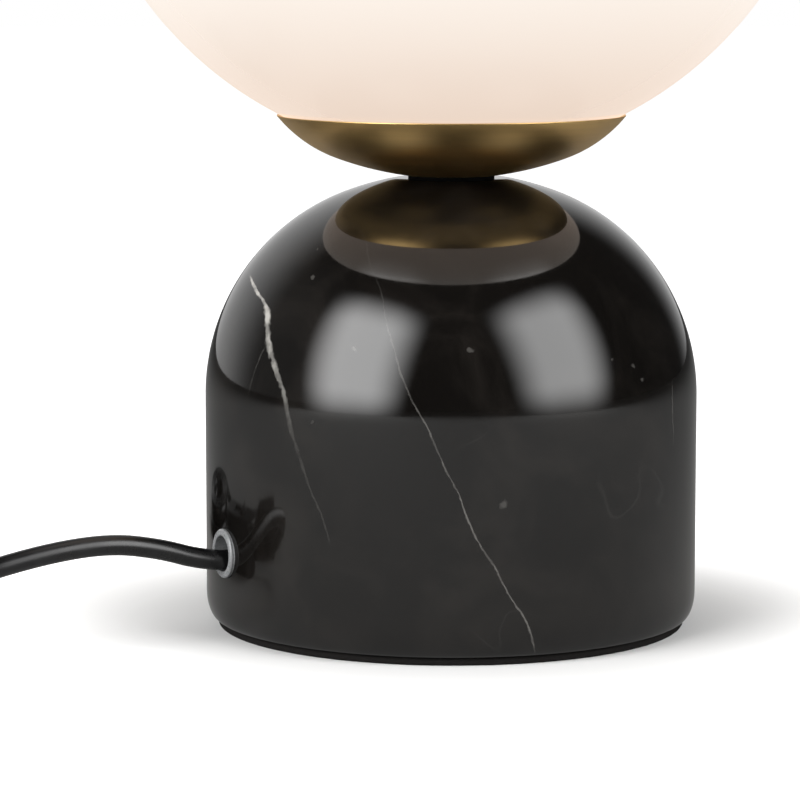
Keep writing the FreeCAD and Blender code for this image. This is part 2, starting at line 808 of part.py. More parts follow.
# ---------------------------------------------------------------------------------
# Globe holder: a three-armed plate with spring clips
# ---------------------------------------------------------------------------------
def clip_angles():
    return [FIRST_CLIP_ANGLE + 360 / CLIP_COUNT * number for number in range(CLIP_COUNT)]


def turn_about_axis(item, angle):
    item.Placement = FreeCAD.Placement(
        FreeCAD.Vector(), FreeCAD.Rotation(FreeCAD.Vector(0, 0, 1), angle)
    )
    return item


def make_clip_spider():
    hub = turned_ring(
        "spider_hub",
        size("tube_radius") + size("thread_gap"),
        size("spider_hub_radius"),
        spider_seat,
        holder_seat,
    )
    half = size("arm_width") / 2
    inner = size("spider_hub_radius") - half
    arms = []
    for number, angle in enumerate(clip_angles(), start=1):
        arm = extruded(
            f"spider_arm_{number}",
            "XY_Plane",
            [
                (inner, -half),
                (size("spider_reach"), -half),
                (size("spider_reach"), half),
                (inner, half),
            ],
            size("spider_thickness"),
            both_ways=False,
        )
        turn_about_axis(arm, angle)
        arm.setExpression("Placement.Base.z", spider_seat.formula)
        arms.append(arm)
    holes = rivet_rods("spider_hole", size("rivet_radius"), spider_seat, size("spider_thickness"))
    return without("clip_spider", together("spider_plate", [hub] + arms), *holes)


def rivet_rods(name, radius, bottom, height):
    distance = size("rivet_distance")
    return [
        rod(
            f"{name}_{number}",
            radius,
            height,
            distance * math.cos(math.radians(angle)),
            distance * math.sin(math.radians(angle)),
            bottom,
        )
        for number, angle in enumerate(clip_angles(), start=1)
    ]


def clip_path():
    """Foot on the arm, through the mouth, out over its inner edge and back in."""
    foot_z = holder_seat + size("clip_thickness") / 2
    mouth = size("mouth_radius")
    return [
        (size("clip_foot"), foot_z),
        (size("spider_reach"), foot_z),
        (mouth - CLIP_INSET, mouth_inner_edge - CLIP_KNEE_DROP),
        (mouth + CLIP_OVERHANG, mouth_inner_edge + CLIP_BULGE_RISE),
        (mouth - CLIP_LEAD_IN, mouth_inner_edge + CLIP_TIP_RISE),
    ]


CLIP_INSET = as_size(1.9)
CLIP_KNEE_DROP = as_size(1.6)
CLIP_OVERHANG = as_size(1.7)
CLIP_BULGE_RISE = as_size(3.1)
CLIP_LEAD_IN = as_size(0.7)
CLIP_TIP_RISE = as_size(6.4)


def make_clip(number, angle):
    spring = strip(
        f"clip_spring_{number}", clip_path(), size("clip_thickness"), size("clip_width")
    )
    hole = rod(
        f"clip_hole_{number}",
        size("rivet_radius"),
        size("clip_thickness") * 2,
        size("rivet_distance"),
        0,
        holder_seat - size("clip_thickness") / 2,
    )
    return turn_about_axis(without(f"globe_clip_{number}", spring, hole), angle)


def make_clip_rivets():
    """Shank through arm and clip, with a head on each side."""
    head = size("rivet_head_height")
    clip_top = holder_seat + size("clip_thickness")
    shank = clip_top - spider_seat
    rods = rivet_rods("rivet_shank", size("rivet_radius"), spider_seat, shank)
    rods += rivet_rods("rivet_head", size("rivet_head_radius"), clip_top, head)
    rods += rivet_rods("rivet_tail", size("rivet_head_radius"), spider_seat - head, head)
    return together("clip_rivets", rods)


# ---------------------------------------------------------------------------------
# Lampholder
# ---------------------------------------------------------------------------------
def make_holder_cap():
    outer, wall = size("holder_radius"), size("holder_wall")
    thread_bore = size("tube_radius") + size("thread_gap")
    floor = holder_seat + size("cap_floor")
    bevel = size("cap_floor")
    boss_top = tube_top
    return turned(
        "holder_cap",
        [
            (thread_bore, holder_seat),
            (outer - bevel, holder_seat),
            (outer, holder_seat + bevel),
            (outer, cap_top),
            (outer - wall, cap_top),
            (outer - wall, floor),
            (size("cap_boss_radius"), floor),
            (size("cap_boss_radius"), boss_top),
            (thread_bore, boss_top),
        ],
    )


def spigot_radius():
    return size("holder_radius") - size("holder_wall") - size("fit_gap")


def make_holder_skirt():
    """Outer sleeve with a spigot that screws into the cap and a lip at its top."""
    outer, wall = size("holder_radius"), size("holder_wall")
    spigot = spigot_radius()
    return turned(
        "holder_skirt",
        [
            (spigot - wall, cap_top - size("spigot_depth")),
            (spigot, cap_top - size("spigot_depth")),
            (spigot, cap_top),
            (outer, cap_top),
            (outer, skirt_top - SKIRT_BEVEL),
            (outer - SKIRT_BEVEL, skirt_top),
            (size("skirt_opening"), skirt_top),
            (size("skirt_opening"), skirt_top - wall),
            (spigot, skirt_top - wall - SKIRT_BEVEL),
            (spigot, cap_top + SPIGOT_SHOULDER),
            (spigot - wall, cap_top),
        ],
    )


SKIRT_BEVEL = as_size(1.5)
SPIGOT_SHOULDER = as_size(1.5)


def terminal_places():
    return [-size("live_terminal"), size("neutral_terminal")]


def make_holder_core():
    """Ceramic disc with a hole for each terminal's stem."""
    radius = spigot_radius() - size("holder_wall") - size("fit_gap")
    disc = turned_ring("core_disc", NOTHING, radius, core_bottom, core_top)
    holes = [
        rod(
            f"core_hole_{number}",
            size("stem_radius") + size("thread_gap"),
            size("core_thickness"),
            x,
            0,
            core_bottom,
        )
        for number, x in enumerate(terminal_places(), start=1)
    ]
    return without("holder_core", disc, *holes)


def thread_waves(radius, bottom, top, depth):
    """Corners of a rolled thread's half section, from the bottom upwards."""
    pitch = size("thread_pitch")
    corners = []
    turns = int((float(top) - float(bottom)) / float(pitch))
    for turn in range(turns):
        start = bottom + pitch * (turn + THREAD_LEAD)
        corners.append((radius - depth, start))
        corners.append((radius, start + pitch * THREAD_FLANK))
        corners.append((radius, start + pitch * (THREAD_FLANK + THREAD_CREST)))
        corners.append((radius - depth, start + pitch * (2 * THREAD_FLANK + THREAD_CREST)))
    return corners


THREAD_LEAD = 0.15
THREAD_FLANK = 0.28
THREAD_CREST = 0.12


def make_screw_shell():
    """Rolled brass shell with a flange that rests on the core."""
    bore, wall = size("shell_bore"), size("shell_wall")
    top = core_top + size("shell_height")
    floor = core_top + wall
    waves = thread_waves(bore + wall + SHELL_WAVE, floor, top, SHELL_WAVE)
    return turned(
        "screw_shell",
        [(size("shell_flange_bore"), core_top), (bore + wall, core_top)]
        + waves
        + [(bore + wall, top), (bore, top), (bore, floor), (size("shell_flange_bore"), floor)],
    )


SHELL_WAVE = as_size(0.7)


def make_centre_contact():
    """A springy tongue that rises from its foot to the middle of the shell."""
    thickness = TONGUE_THICKNESS
    foot_z = core_top + thickness / 2
    tip_z = core_top + tongue_height - thickness / 2
    return strip(
        "centre_contact",
        [
            (-size("live_terminal") - TONGUE_FOOT, foot_z),
            (-size("live_terminal") + TONGUE_FOOT * 2, foot_z),
            (-TONGUE_FOOT, tip_z),
            (TONGUE_FOOT * 2, tip_z),
        ],
        thickness,
        TONGUE_WIDTH,
    )


TONGUE_THICKNESS = as_size(0.4)
TONGUE_FOOT = as_size(1.3)
TONGUE_WIDTH = as_size(3.6)


def make_terminals():
    """Two brass blocks under the core, each with a stem up through it."""
    width, height = size("terminal_width"), size("terminal_height")
    blocks = []
    for number, x in enumerate(terminal_places(), start=1):
        bottom = core_bottom - height
        brass = block(f"terminal_block_{number}", width, width, height, x, 0, bottom)
        stem = rod(
            f"terminal_stem_{number}",
            size("stem_radius"),
            height + size("core_thickness"),
            x,
            0,
            bottom,
        )
        hole = rod(
            f"terminal_wire_hole_{number}",
            size("wire_diameter") / 2 + size("thread_gap"),
            TERMINAL_WIRE_DEPTH,
            x,
            0,
            bottom,
        )
        screw_hole = rod(
            f"terminal_screw_hole_{number}",
            TERMINAL_SCREW_RADIUS + size("thread_gap"),
            width / 2,
            x,
            -width / 2,
            bottom + height / 2,
            ALONG_Y,
        )
        solid = together(f"terminal_solid_{number}", [brass, stem])
        blocks.append(without(f"terminal_{number}", solid, hole, screw_hole))
    return together("holder_terminals", blocks)


TERMINAL_WIRE_DEPTH = as_size(3.4)
TERMINAL_SCREW_RADIUS = as_size(1.0)
TERMINAL_SCREW_HEAD = as_size(1.7)


def make_terminal_screws():
    width, height = size("terminal_width"), size("terminal_height")
    screws = []
    for number, x in enumerate(terminal_places(), start=1):
        level = core_bottom - height / 2
        reach = width / 2 - size("wire_diameter") / 2 - size("thread_gap") * 2
        shank = rod(
            f"terminal_screw_shank_{number}",
            TERMINAL_SCREW_RADIUS,
            reach,
            x,
            -width / 2,
            level,
            ALONG_Y,
        )
        head = rod(
            f"terminal_screw_head_{number}",
            TERMINAL_SCREW_HEAD,
            TERMINAL_SCREW_RADIUS,
            x,
            -width / 2 - TERMINAL_SCREW_RADIUS,
            level,
            ALONG_Y,
        )
        screws.append(together(f"terminal_screw_{number}", [shank, head]))
    return together("terminal_screws", screws)


# ---------------------------------------------------------------------------------
# Bulb
# ---------------------------------------------------------------------------------
def make_bulb_cap():
    radius = size("bulb_cap_radius")
    core = radius - BULB_WAVE
    inner = core - BULB_CAP_WALL
    waves = thread_waves(radius, bulb_cap_bottom, housing_bottom, BULB_WAVE)
    return turned(
        "bulb_cap",
        [(inner, bulb_cap_bottom), (core, bulb_cap_bottom)]
        + waves
        + [(core, housing_bottom), (inner, housing_bottom)],
    )


BULB_WAVE = as_size(0.8)
BULB_CAP_WALL = as_size(0.4)


def make_bulb_insulator():
    """Black glass cone between the cap and the end contact, with a plug inside."""
    cap_inner = size("bulb_cap_radius") - BULB_WAVE - BULB_CAP_WALL
    return turned(
        "bulb_insulator",
        [
            (NOTHING, insulator_bottom),
            (size("pip_radius") + 1, insulator_bottom),
            (cap_inner + BULB_CAP_WALL, bulb_cap_bottom),
            (cap_inner - size("thread_gap"), bulb_cap_bottom),
            (cap_inner - size("thread_gap"), bulb_cap_bottom + 1),
            (NOTHING, bulb_cap_bottom + 1),
        ],
    )


def make_bulb_contact():
    return turned_ring("bulb_contact", NOTHING, size("pip_radius"), pip_bottom, insulator_bottom)


def flank_middle(start_x, start_z, end_x, end_z, radius):
    """Middle of an arc of a radius that runs between two corners, bulging down."""
    across_x, across_z = end_x - start_x, end_z - start_z
    span = root(across_x * across_x + across_z * across_z)
    away = other_side(radius, span / 2) / span
    middle_x = (start_x + end_x) / 2 + across_z * away * -1
    middle_z = (start_z + end_z) / 2 + across_x * away
    return middle_x, middle_z


def make_bulb_housing():
    """A flared shell; its floor stands on the cap and its rim carries the LEDs."""
    low, rim, wall = size("bulb_cap_radius") + 0.4, size("bulb_rim_radius"), size("bulb_wall")
    collar = housing_bottom + HOUSING_COLLAR
    middle_x, middle_z = flank_middle(low, collar, rim, housing_top, size("housing_curve"))
    inner_middle = (middle_x, middle_z)
    inner_radius_squared = (
        (low - wall - middle_x) * (low - wall - middle_x)
        + (collar - middle_z) * (collar - middle_z)
    )
    inner_rim = rim - wall
    inner_top = middle_z + root(
        inner_radius_squared - (inner_rim - middle_x) * (inner_rim - middle_x)
    ) * -1
    return turned(
        "bulb_housing",
        [
            (NOTHING, housing_bottom),
            (low, housing_bottom),
            (low, collar, (middle_x, middle_z, 1)),
            (rim, housing_top),
            (inner_rim, housing_top),
            (inner_rim, inner_top, (inner_middle[0], inner_middle[1], -1)),
            (low - wall, collar),
            (NOTHING, collar),
        ],
    )


HOUSING_COLLAR = as_size(2.5)


def make_bulb_diffuser():
    """A round dome with a tapering skirt that stands on the housing's rim."""
    radius, wall, rim = size("bulb_radius"), size("bulb_wall"), size("bulb_rim_radius")
    centre = bulb_top - radius
    drop = radius * math.sin(math.radians(DIFFUSER_TURN))
    widest = radius * math.cos(math.radians(DIFFUSER_TURN))
    inner = radius - wall
    inner_drop = inner * math.sin(math.radians(DIFFUSER_TURN))
    inner_widest = inner * math.cos(math.radians(DIFFUSER_TURN))
    return turned(
        "bulb_diffuser",
        [
            (rim - wall, housing_top),
            (rim, housing_top),
            (widest, centre - drop, (NOTHING, centre, 1)),
            (NOTHING, bulb_top),
            (NOTHING, bulb_top - wall, (NOTHING, centre, -1)),
            (inner_widest, centre - inner_drop),
        ],
    )


DIFFUSER_TURN = 16.0


def board_bottom():
    return housing_top - size("led_board_thickness")


def make_led_board():
    return turned_ring(
        "led_board", NOTHING, size("led_board_radius"), board_bottom(), housing_top
    )


def make_led_chips():
    width = size("led_width")
    chips = []
    for number in range(LED_COUNT):
        angle = math.radians(360 / LED_COUNT * number)
        x = size("led_ring_radius") * math.cos(angle)
        y = size("led_ring_radius") * math.sin(angle)
        chips.append(
            block(f"led_chip_{number + 1}", width, width, size("led_height"), x, y, housing_top)
        )
    return together("led_chips", chips)


def make_bulb_driver():
    """The small upright board that feeds the LEDs, inside the housing."""
    return block(
        "bulb_driver",
        size("driver_thickness"),
        size("driver_width"),
        size("driver_height"),
        0,
        0,
        board_bottom() - size("driver_height"),
    )


# ---------------------------------------------------------------------------------
# Globe
# ---------------------------------------------------------------------------------
def make_glass_globe():
    outer, inner, mouth = size("globe_radius"), inner_globe_radius, size("mouth_radius")
    body = turned(
        "glass_globe",
        [
            (mouth, mouth_outer_edge, (NOTHING, globe_centre, 1)),
            (NOTHING, globe_centre + outer),
            (NOTHING, globe_centre + inner, (NOTHING, globe_centre, -1)),
            (mouth, mouth_inner_edge),
        ],
    )

    def at_mouth(edge):
        box = edge.BoundBox
        return box.ZLength < 1e-6 and abs(box.XMax - float(mouth)) < 1e-4

    rounded(body, "globe_mouth_round", at_mouth, size("mouth_round"))
    return body


# ---------------------------------------------------------------------------------
# Cord: straight runs joined by arcs, and a coil in two layers
# ---------------------------------------------------------------------------------
ARC_SHARE = 0.45


def from_exit(distance, height):
    """A place on the upright plane through the cord hole, out from the axis."""
    angle = math.radians(float(size("exit_angle")))
    return FreeCAD.Vector(
        -math.sin(angle) * distance, -math.cos(angle) * distance, height
    )


def cord_path(points):
    """Straight runs, each pair joined by an arc as large as its runs allow."""
    edges = []
    start = points[0]
    radii = []
    for before, corner, after in zip(points, points[1:], points[2:]):
        back, ahead = before - corner, after - corner
        turn = math.pi - back.getAngle(ahead)
        reach = ARC_SHARE * min(back.Length, ahead.Length)
        back.normalize()
        ahead.normalize()
        enter, leave = corner + back * reach, corner + ahead * reach
        radius = reach / math.tan(turn / 2)
        radii.append(radius)
        to_middle = back + ahead
        to_middle.normalize()
        middle = corner + to_middle * (radius / math.cos(turn / 2) - radius)
        edges.append(Part.LineSegment(start, enter).toShape())
        edges.append(Part.Arc(enter, middle, leave).toShape())
        start = leave
    edges.append(Part.LineSegment(start, points[-1]).toShape())
    return Part.Wire(edges), radii


def tube_along(path, start, direction, radius):
    """A solid tube along a path that starts in a direction."""
    circle = Part.Wire([Part.Circle(start, direction, radius).toShape()])
    return path.makePipeShell([circle], True, False)


def make_cord(label, points, radius):
    path, radii = cord_path(points)
    solid = tube_along(path, points[0], points[1] - points[0], radius)
    share = solid.Volume / (math.pi * radius**2 * path.Length)
    print(
        f"{label}: length {path.Length:.1f} mm, least radius {min(radii):.1f} mm, "
        f"volume over section times length {share:.4f}"
    )
    item = doc.addObject("Part::Feature", label)
    item.Shape = solid
    return item


cord_radius = float(size("cord_diameter")) / 2
collar_face = float(size("base_radius")) + float(size("ring_stand"))
cord_level = float(size("exit_height")) - float(size("ring_bore")) + cord_radius + 0.12
switch_level = float(size("switch_split"))
switch_x = float(size("switch_x"))
switch_front = float(size("switch_front"))
switch_back = switch_front + float(size("switch_length"))
coil_x, coil_y = float(size("coil_x")), float(size("coil_y"))
plug_x = float(size("plug_x"))
plug_level = float(size("plug_height")) / 2

exit_point = from_exit(collar_face, cord_level + float(size("running_gap")))

exit_height = float(size("exit_height"))
cord_width = float(size("cord_diameter"))

LEAD_ROUTE = [
    exit_point,
    from_exit(collar_face * 1.09, exit_height * 0.956),
    from_exit(collar_face * 1.254, exit_height * 1.113),
    from_exit(collar_face * 1.463, exit_height * 1.217),
    from_exit(collar_face * 1.731, exit_height * 1.152),
    from_exit(collar_face * 2.06, exit_height * 0.948),
    FreeCAD.Vector(
        switch_x + cord_width * 2.48, switch_front - cord_width * 7.31, exit_height * 0.587
    ),
    FreeCAD.Vector(switch_x, switch_front - cord_width * 4.17, switch_level),
    FreeCAD.Vector(switch_x, switch_front, switch_level),
]


def coil_point(angle):
    """A place on the coil: the turns spiral in on the floor and out on top.

    The angle is measured in degrees from the coil's start.  The distance from the
    middle shrinks by a pitch a turn to the reversal and then grows again, and the
    cord climbs to the second layer in the half turn about the reversal.
    """
    half = 360.0 * float(size("coil_turns"))
    pitch = float(size("coil_pitch"))
    inner = float(size("coil_radius")) - pitch * float(size("coil_turns")) / 2
    reach = inner + pitch * abs(angle - half) / 360.0
    climb = min(max((angle - half) / CLIMB_ANGLE + 0.5, 0.0), 1.0)
    rise = (1 - math.cos(math.pi * climb)) / 2
    direction = math.radians(float(size("coil_start")) + angle)
    return FreeCAD.Vector(
        coil_x + reach * math.cos(direction),
        coil_y + reach * math.sin(direction),
        cord_radius + float(size("coil_layer")) * rise,
    )


CLIMB_ANGLE = 180.0
COIL_STEP = 45.0


def coil_direction(angle):
    small = 0.01
    ahead = coil_point(angle + small) - coil_point(angle - small)
    return ahead.normalize()


def two_arcs(start, start_way, end, end_way):
    """Two arcs that leave a start and reach an end in given directions."""
    across = end - start
    both = start_way + end_way
    square = 2 * (1 - start_way.dot(end_way))
    along = across.dot(both)
    reach = (-along + math.sqrt(along**2 + square * across.dot(across))) / square
    join = (start + start_way * reach + end - end_way * reach) * 0.5
    return [arc_from(start, start_way, join), arc_back(end, end_way, join)]


def arc_from(start, way, end):
    chord = end - start
    tip = start + way * (chord.dot(chord) / (2 * chord.dot(way)))
    middle = (start + end) * 0.5
    to_tip = tip - middle
    half = chord.Length / 2
    tangent = (tip - start).Length
    rise = half * (tangent - half) / to_tip.Length
    to_tip.normalize()
    return Part.Arc(start, middle + to_tip * rise, end).toShape()


def arc_back(end, way, start):
    """The arc from a start that reaches the end in a direction."""
    mirrored = arc_from(end, way * -1, start)
    middle = mirrored.valueAt((mirrored.FirstParameter + mirrored.LastParameter) / 2)
    return Part.Arc(start, middle, end).toShape()


def least_gap(points, radius, apart):
    """The least distance between turns of the cord, skin to skin."""
    least = float("inf")
    for index, point in enumerate(points):
        for other in points[index + apart :]:
            distance = (point - other).Length
            if distance < least:
                least = distance
    return least - 2 * radius


def make_coil():
    """One unbroken tube with a straight end at each side."""
    last = 720.0 * float(size("coil_turns"))
    count = round(last / COIL_STEP)
    angles = [last * number / count for number in range(count + 1)]
    points = [coil_point(angle) for angle in angles]
    ways = [coil_direction(min(max(angle, 0.02), last - 0.02)) for angle in angles]
    start = points[0] - ways[0] * (2 * cord_radius)
    end = points[-1] + ways[-1] * (2 * cord_radius)
    edges = [Part.LineSegment(start, points[0]).toShape()]
    for index in range(count):
        edges += two_arcs(points[index], ways[index], points[index + 1], ways[index + 1])
    edges.append(Part.LineSegment(points[-1], end).toShape())
    path = Part.Wire(edges)
    solid = tube_along(path, start, ways[0], cord_radius)
    checked = [coil_point(last * number / 900) for number in range(901)]
    share = solid.Volume / (math.pi * cord_radius**2 * path.Length)
    print(
        f"cord_coil: length {path.Length:.1f} mm, "
        f"least radius {min(edge.Curve.Radius for edge in edges[1:-1]):.1f} mm, "
        f"least gap to itself {least_gap(checked, cord_radius, 90):.2f} mm, "
        f"volume over section times length {share:.4f}"
    )
    item = doc.addObject("Part::Feature", "cord_coil")
    item.Shape = solid
    return item, start, ways[0], end, ways[-1]


def sheath_end():
    """Height at which the cord's sheath ends, inside the top of the tube."""
    return float(tube_top) - float(size("cord_diameter")) * 0.75


def make_inner_cord():
    """From the grommet's face through the hollow base and up the threaded tube."""
    bend = cord_width * 2.6
    points = [
        exit_point,
        from_exit(float(cavity_radius) * 0.902, cord_level),
        from_exit(bend, cord_level),
        FreeCAD.Vector(0, 0, cord_level + bend),
        FreeCAD.Vector(0, 0, sheath_end()),
    ]
    return make_cord("inner_cord", points, cord_radius)


def make_wire(label, side, distance):
    """One insulated wire from the sheath's end to its terminal."""
    radius = float(size("wire_diameter")) / 2
    start_z = sheath_end()
    end_z = float(core_bottom - size("terminal_height") + TERMINAL_WIRE_DEPTH)
    offset = radius + float(size("thread_gap"))
    x = float(distance)
    points = [
        FreeCAD.Vector(side * offset, 0, start_z),
        FreeCAD.Vector(side * offset, 0, start_z + radius * 5.0),
        FreeCAD.Vector(side * x, 0, end_z - radius * 5.9),
        FreeCAD.Vector(side * x, 0, end_z),
    ]
    return make_cord(label, points, radius)


# ---------------------------------------------------------------------------------
# Cord switch
# ---------------------------------------------------------------------------------
def switch_middle():
    return size("switch_front") + size("switch_length") / 2


def capsule(half_length, half_width):
    """Corners of an outline with round ends, about its own middle, along Y."""
    straight = half_length - half_width
    return [
        (half_width, -straight),
        (half_width, straight, (NOTHING, straight, 1)),
        (-half_width, straight),
        (-half_width, -straight, (NOTHING, -straight, 1)),
    ]


def switch_half(name, bottom, top, open_above):
    """One half of the switch's case, hollow, with its outer edges rounded."""
    half_length, half_width = size("switch_length") / 2, size("switch_half_width")
    wall = size("switch_wall")
    height = top - bottom
    body = extruded(name, "XY_Plane", capsule(half_length, half_width), height, False)
    closed_level = float(NOTHING if open_above else height)

    def outer_edge(edge):
        box = edge.BoundBox
        return box.ZLength < 1e-6 and abs(box.ZMin - closed_level) < 1e-6

    rounded(body, f"{name}_edge", outer_edge, size("switch_edge"))
    start = wall if open_above else NOTHING
    pocket(
        body,
        f"{name}_hollow",
        "XY_Plane",
        capsule(half_length - wall, half_width - wall),
        height - wall,
        start,
    )
    return place(body, size("switch_x"), switch_middle(), bottom)


def switch_posts(name, radius, bottom, height):
    return [
        rod(
            f"{name}_{number}",
            radius,
            height,
            size("switch_x") + side * POST_SIDE,
            switch_middle() + side * size("post_distance"),
            bottom,
        )
        for number, side in enumerate((as_size(1), as_size(-1)), start=1)
    ]


POST_SIDE = as_size(6.6)


def switch_cord_room():
    return rod(
        "switch_cord_room",
        size("cord_diameter") / 2 + size("fit_gap"),
        size("switch_length") + 2,
        size("switch_x"),
        size("switch_front") - 1,
        size("switch_split"),
        ALONG_Y,
    )


def make_switch_base(cord_room):
    """Lower half of the case, with a post for each screw."""
    wall = size("switch_wall")
    shell = switch_half("switch_base_shell", NOTHING, size("switch_split"), True)
    posts = switch_posts(
        "switch_post", size("post_radius"), wall / 2, size("switch_split") - wall / 2
    )
    head_rooms = switch_posts(
        "switch_head_room", size("switch_screw_head") + size("fit_gap"), NOTHING, SCREW_SINK
    )
    screw_rooms = switch_posts(
        "switch_screw_room",
        size("switch_screw_radius") + size("thread_gap"),
        NOTHING,
        size("switch_split"),
    )
    solid = together("switch_base_solid", [shell] + posts)
    return without("switch_base", solid, cord_room, *head_rooms, *screw_rooms)


SCREW_SINK = as_size(2.2)
SCREW_HEAD_HEIGHT = as_size(1.6)
SCREW_BITE = as_size(7.0)


def make_switch_cover(cord_room):
    """Upper half of the case, with the rocker's opening and the ears for its pin."""
    split, top, wall = size("switch_split"), size("switch_height"), size("switch_wall")
    shell = switch_half("switch_cover_shell", split, top, False)
    middle = switch_middle()
    opening = block(
        "switch_opening",
        (size("rocker_half_width") + size("running_gap")) * 2,
        size("rocker_opening") * 2,
        wall * 4,
        size("switch_x"),
        middle,
        top - wall * 2,
    )
    ear_height = top - wall / 2 - (size("rocker_pin_height") - size("rocker_pin_radius") * 2)
    ear_offset = size("rocker_half_width") + size("running_gap") + size("ear_thickness") / 2
    ears = [
        block(
            f"switch_ear_{number}",
            size("ear_thickness"),
            size("rocker_pin_radius") * 5,
            ear_height,
            size("switch_x") + side * ear_offset,
            middle,
            top - wall / 2 - ear_height,
        )
        for number, side in enumerate((as_size(1), as_size(-1)), start=1)
    ]
    pin_room = rod(
        "switch_pin_room",
        size("rocker_pin_radius") + size("thread_gap") / 2,
        pin_length(),
        size("switch_x") - pin_length() / 2,
        middle,
        size("rocker_pin_height"),
        ALONG_X,
    )
    posts = switch_posts("switch_cover_post", size("post_radius"), split, top - wall / 2 - split)
    threads = switch_posts(
        "switch_cover_thread",
        size("switch_screw_radius") + size("thread_gap"),
        split,
        SCREW_BITE,
    )
    solid = together("switch_cover_solid", [shell] + ears + posts)
    return without("switch_cover", solid, opening, cord_room, pin_room, *threads)


def pin_length():
    return (
        size("rocker_half_width") + size("running_gap") + size("ear_thickness")
    ) * 2


def make_switch_screws():
    """Two screws from below, their heads sunk in the lower half."""
    sink = SCREW_SINK - SCREW_HEAD_HEIGHT
    heads = switch_posts("switch_screw_head", size("switch_screw_head"), sink, SCREW_HEAD_HEIGHT)
    shanks = switch_posts(
        "switch_screw_shank",
        size("switch_screw_radius"),
        sink,
        size("switch_split") + SCREW_BITE - sink - 1,
    )
    return together("switch_screws", heads + shanks)


def make_rocker_pin():
    return rod(
        "rocker_pin",
        size("rocker_pin_radius"),
        pin_length(),
        size("switch_x") - pin_length() / 2,
        switch_middle(),
        size("rocker_pin_height"),
        ALONG_X,
    )


def tilted_at_switch(item):
    """Put a piece that is made about the rocker's pin in its place, tilted."""
    rotation = FreeCAD.Rotation(FreeCAD.Vector(1, 0, 0), -float(size("rocker_tilt")))
    return place(
        item, size("switch_x"), switch_middle(), size("rocker_pin_height"), rotation
    )


def make_switch_rocker():
    """A rocker with a dished top, bored for its pin."""
    half_length, half_width = size("rocker_half_length"), size("rocker_half_width")
    horn, waist, drop = size("rocker_horn"), size("rocker_waist"), size("rocker_drop")
    body = extruded(
        "rocker_body",
        "YZ_Plane",
        [
            (-half_length, NOTHING),
            (-half_length / 2, -drop),
            (half_length / 2, -drop),
            (half_length, NOTHING),
            (half_length, horn),
            (NOTHING, waist),
            (-half_length, horn),
        ],
        half_width * 2,
    )
    hole = rod(
        "rocker_hole",
        size("rocker_pin_radius") + size("thread_gap"),
        half_width * 2,
        -half_width,
        0,
        0,
        ALONG_X,
    )
    return tilted_at_switch(without("switch_rocker", body, hole))


def make_rocker_contact():
    """The bridge under the rocker that closes the circuit."""
    bridge = block(
        "rocker_contact",
        size("contact_width"),
        size("rocker_half_length"),
        CONTACT_THICKNESS,
        0,
        0,
        NOTHING,
    )
    tilt = math.radians(float(size("rocker_tilt")))
    drop = float(size("rocker_drop")) + float(CONTACT_THICKNESS)
    half_x = float(size("contact_width")) / 2
    half_y = float(size("rocker_half_length")) / 2
    rotation = FreeCAD.Rotation(FreeCAD.Vector(1, 0, 0), -float(size("rocker_tilt")))
    corner = rotation.multVec(FreeCAD.Vector(-half_x, -half_y, -drop))
    place(
        bridge,
        size("switch_x") - size("contact_width") / 2,
        switch_middle() + corner.y,
        size("rocker_pin_height") + corner.z,
        rotation,
    )
    assert tilt > 0
    return bridge


CONTACT_THICKNESS = as_size(0.8)


def make_switch_contacts():
    """Two fixed brass strips: one end under the bridge, the other at the cord."""
    floor = size("switch_wall")
    foot = floor + CONTACT_THICKNESS / 2
    strips = []
    for number, (side, near, rise) in enumerate(
        ((1, CONTACT_NEAR, CONTACT_LOW), (-1, CONTACT_NEAR, CONTACT_HIGH)), start=1
    ):
        strips.append(
            strip(
                f"switch_contact_{number}",
                [
                    (as_size(near), floor + rise),
                    (as_size(near + 4.0), floor + rise),
                    (as_size(near + 7.0), foot),
                    (as_size(near + 13.0), foot),
                ],
                CONTACT_THICKNESS,
                size("contact_width"),
            )
        )
        turned_strip = FreeCAD.Rotation(FreeCAD.Vector(0, 0, 1), 90 * side)
        place(strips[-1], size("switch_x"), switch_middle(), NOTHING, turned_strip)
    return together("switch_contacts", strips)


CONTACT_NEAR = 2.5
CONTACT_LOW = as_size(4.6)
CONTACT_HIGH = as_size(4.6)


# ---------------------------------------------------------------------------------
# Plug
# ---------------------------------------------------------------------------------
def plug_front():
    return size("plug_back") - size("plug_length")


def pin_waist():
    """Radius of a pin in the plug and under its sleeve."""
    return size("pin_radius") - size("sleeve_wall")


def pin_places():
    half = size("pin_spacing") / 2
    return [size("plug_x") - half, size("plug_x") + half]


def make_plug_body():
    """Flat body that widens from its neck to its face, with rounded edges."""
    neck, face = size("plug_neck") / 2, size("plug_width") / 2
    length = size("plug_length")
    body = extruded(
        "plug_blank",
        "XY_Plane",
        [
            (-face, -length),
            (face, -length),
            (face, -length + PLUG_SHOULDER),
            (neck, NOTHING),
            (-neck, NOTHING),
            (-face, -length + PLUG_SHOULDER),
        ],
        size("plug_height"),
        both_ways=False,
    )
    rounded(body, "plug_edges", lambda edge: True, size("plug_edge"))
    place(body, size("plug_x"), size("plug_back"), NOTHING)
    holes = [
        rod(
            f"plug_pin_hole_{number}",
            pin_waist() + size("thread_gap"),
            size("pin_root") + 1,
            x,
            plug_front() - 1,
            size("plug_height") / 2,
            ALONG_Y,
        )
        for number, x in enumerate(pin_places(), start=1)
    ]
    return without("plug_body", body, *holes)


PLUG_SHOULDER = as_size(13.0)


